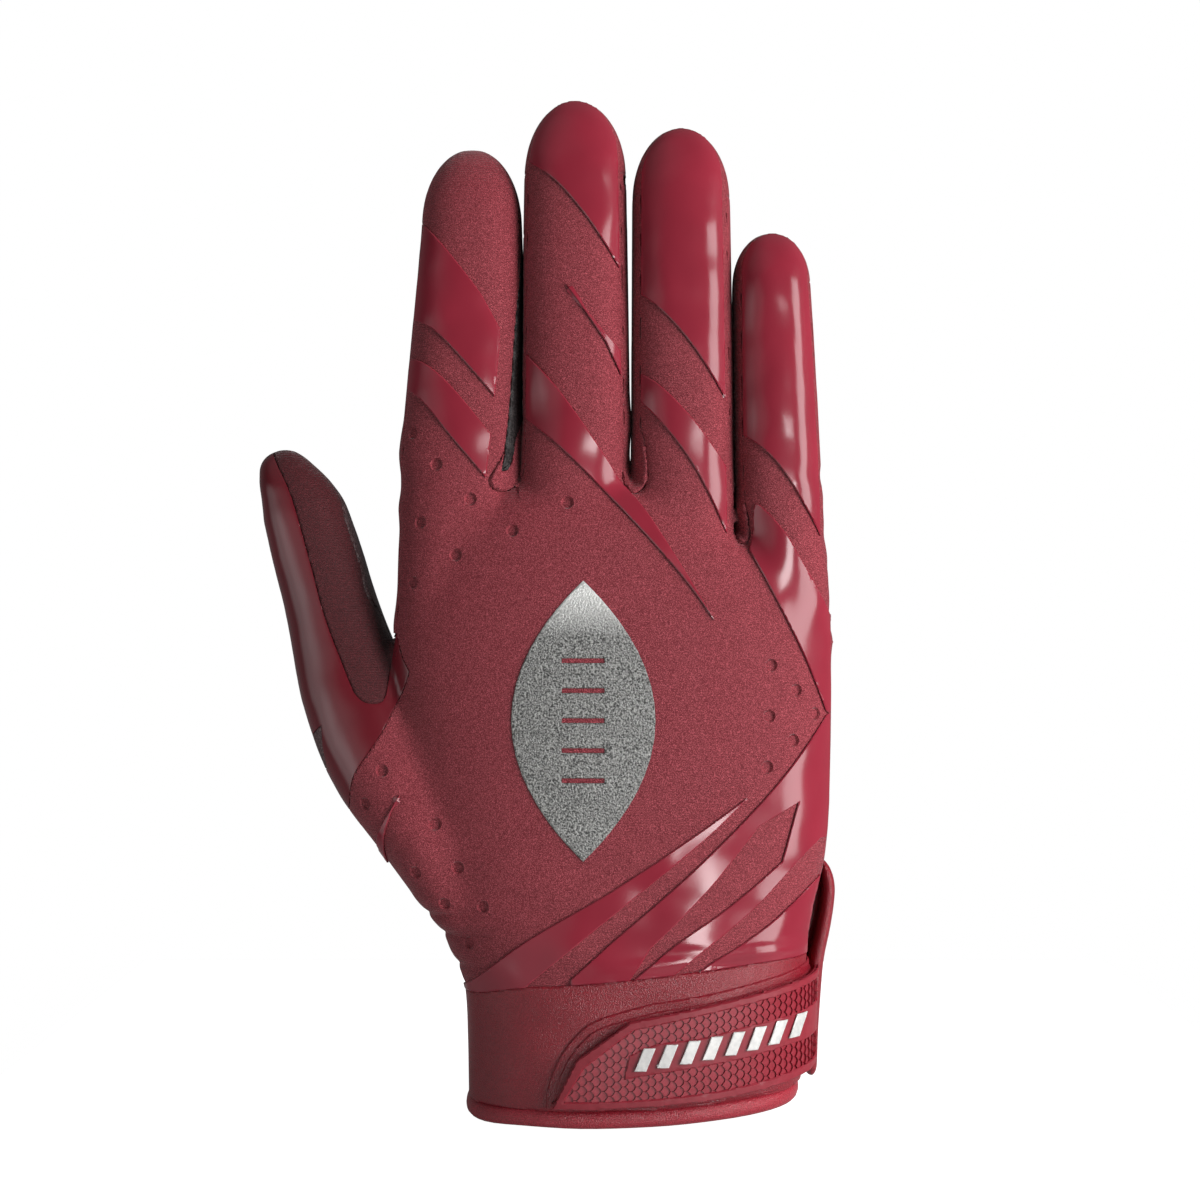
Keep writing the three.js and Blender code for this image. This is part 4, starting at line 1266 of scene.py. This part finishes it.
for spare in (skin, dimpled, raised, strap_skin):
    bpy.data.objects.remove(spare)

# Setting: a plain pale floor and white surroundings, a soft light at the right, a tall softbox at the right in
# front, a low one that only draws streaks on glossy faces, faint wide glows all round, and the camera.
from mathutils import Vector

bpy.ops.mesh.primitive_plane_add(size=0.3)
floor = bpy.context.object
floor.name = "floor"
floor.location.z = -0.0015
pale = bpy.data.materials.new("pale_floor")
pale.use_nodes = True
pale_nodes, pale_links = pale.node_tree.nodes, pale.node_tree.links
face = pale_nodes["Principled BSDF"].inputs
face["Base Color"].default_value = (0.6, 0.6, 0.6, 1)
face["Roughness"].default_value = 0.9
face["Emission Color"].default_value = (1, 1, 1, 1)
lit = pale_nodes.new("ShaderNodeMapRange")
lit.inputs["To Min"].default_value = 0.06
lit.inputs["To Max"].default_value = 1
pale_links.new(pale_nodes.new("ShaderNodeLightPath").outputs["Is Camera Ray"], lit.inputs["Value"])
pale_links.new(lit.outputs["Result"], face["Emission Strength"])
floor.data.materials.append(pale)


def soft_light(name, place_at, target, size, energy):
    light = bpy.data.lights.new(name, "AREA")
    light.shape = "RECTANGLE"
    light.size, light.size_y = size
    light.energy = energy
    made = bpy.data.objects.new(name, light)
    bpy.context.collection.objects.link(made)
    made.location = place_at
    aim = [b - a for a, b in zip(place_at, target)]
    made.rotation_euler = Vector(aim).to_track_quat("-Z", "Y").to_euler()
    return made


MIDDLE = (-0.007, 0, 0.11)
side_light = soft_light("side_light", (0.62, -0.26, 0.32), MIDDLE, (0.38, 0.55), 5.4)
side_light.visible_glossy = False
soft_light("right_softbox", (0.92, -0.78, 0.2), MIDDLE, (0.46, 0.95), 7.6)
low_softbox = soft_light("low_softbox", (0.377, -1.13, 0.158), MIDDLE, (0.3, 0.42), 4.6)
low_softbox.visible_diffuse = False
world = bpy.data.worlds.new("studio")
bpy.context.scene.world = world
world.use_nodes = True
sky = world.node_tree.nodes
sky["Background"].inputs["Color"].default_value = (1, 1, 1, 1)
direction = sky.new("ShaderNodeTexCoord").outputs["Generated"]
link = world.node_tree.links.new


def glow(towards, start, full, strength):
    """A soft round patch of light in that direction."""
    dot = sky.new("ShaderNodeVectorMath")
    dot.operation = "DOT_PRODUCT"
    dot.inputs[1].default_value = Vector(towards).normalized()
    link(direction, dot.inputs[0])
    fall = sky.new("ShaderNodeMapRange")
    fall.interpolation_type = "SMOOTHSTEP"
    fall.inputs["From Min"].default_value = start
    fall.inputs["From Max"].default_value = full
    fall.inputs["To Max"].default_value = strength
    link(dot.outputs["Value"], fall.inputs["Value"])
    return fall.outputs["Result"]


def added(first, second):
    total = sky.new("ShaderNodeMath")
    total.operation = "ADD"
    link(first, total.inputs[0])
    link(second, total.inputs[1])
    return total.outputs["Value"]


left_glow = glow((-0.84, -0.5, -0.2), 0.84, 0.97, 0.82)
web_glow = glow((-0.58, -0.8, -0.06), 0.86, 0.97, 0.42)
top_glow = glow((-0.4, -0.45, 0.8), 0.8, 0.98, 0.15)
behind_glow = glow((0, 1, 0), -0.6, 0.5, 0.14)
link(added(added(left_glow, web_glow), added(top_glow, behind_glow)), sky["Background"].inputs["Strength"])
white = sky.new("ShaderNodeBackground")
white.inputs["Color"].default_value = (1, 1, 1, 1)
white.inputs["Strength"].default_value = 1
rays = sky.new("ShaderNodeLightPath")
choice = sky.new("ShaderNodeMixShader")
link(rays.outputs["Is Camera Ray"], choice.inputs["Fac"])
link(sky["Background"].outputs["Background"], choice.inputs[1])
link(white.outputs["Background"], choice.inputs[2])
link(choice.outputs["Shader"], sky["World Output"].inputs["Surface"])

camera_data = bpy.data.cameras.new("camera")
camera_data.lens, camera_data.sensor_width = 50, 36
camera = bpy.data.objects.new("camera", camera_data)
bpy.context.collection.objects.link(camera)
camera.location = (-0.0074, -0.3725, 0.1118)
camera.rotation_euler = (math.pi / 2, 0, 0)
bpy.context.scene.camera = camera
bpy.context.scene.view_settings.view_transform = "Standard"
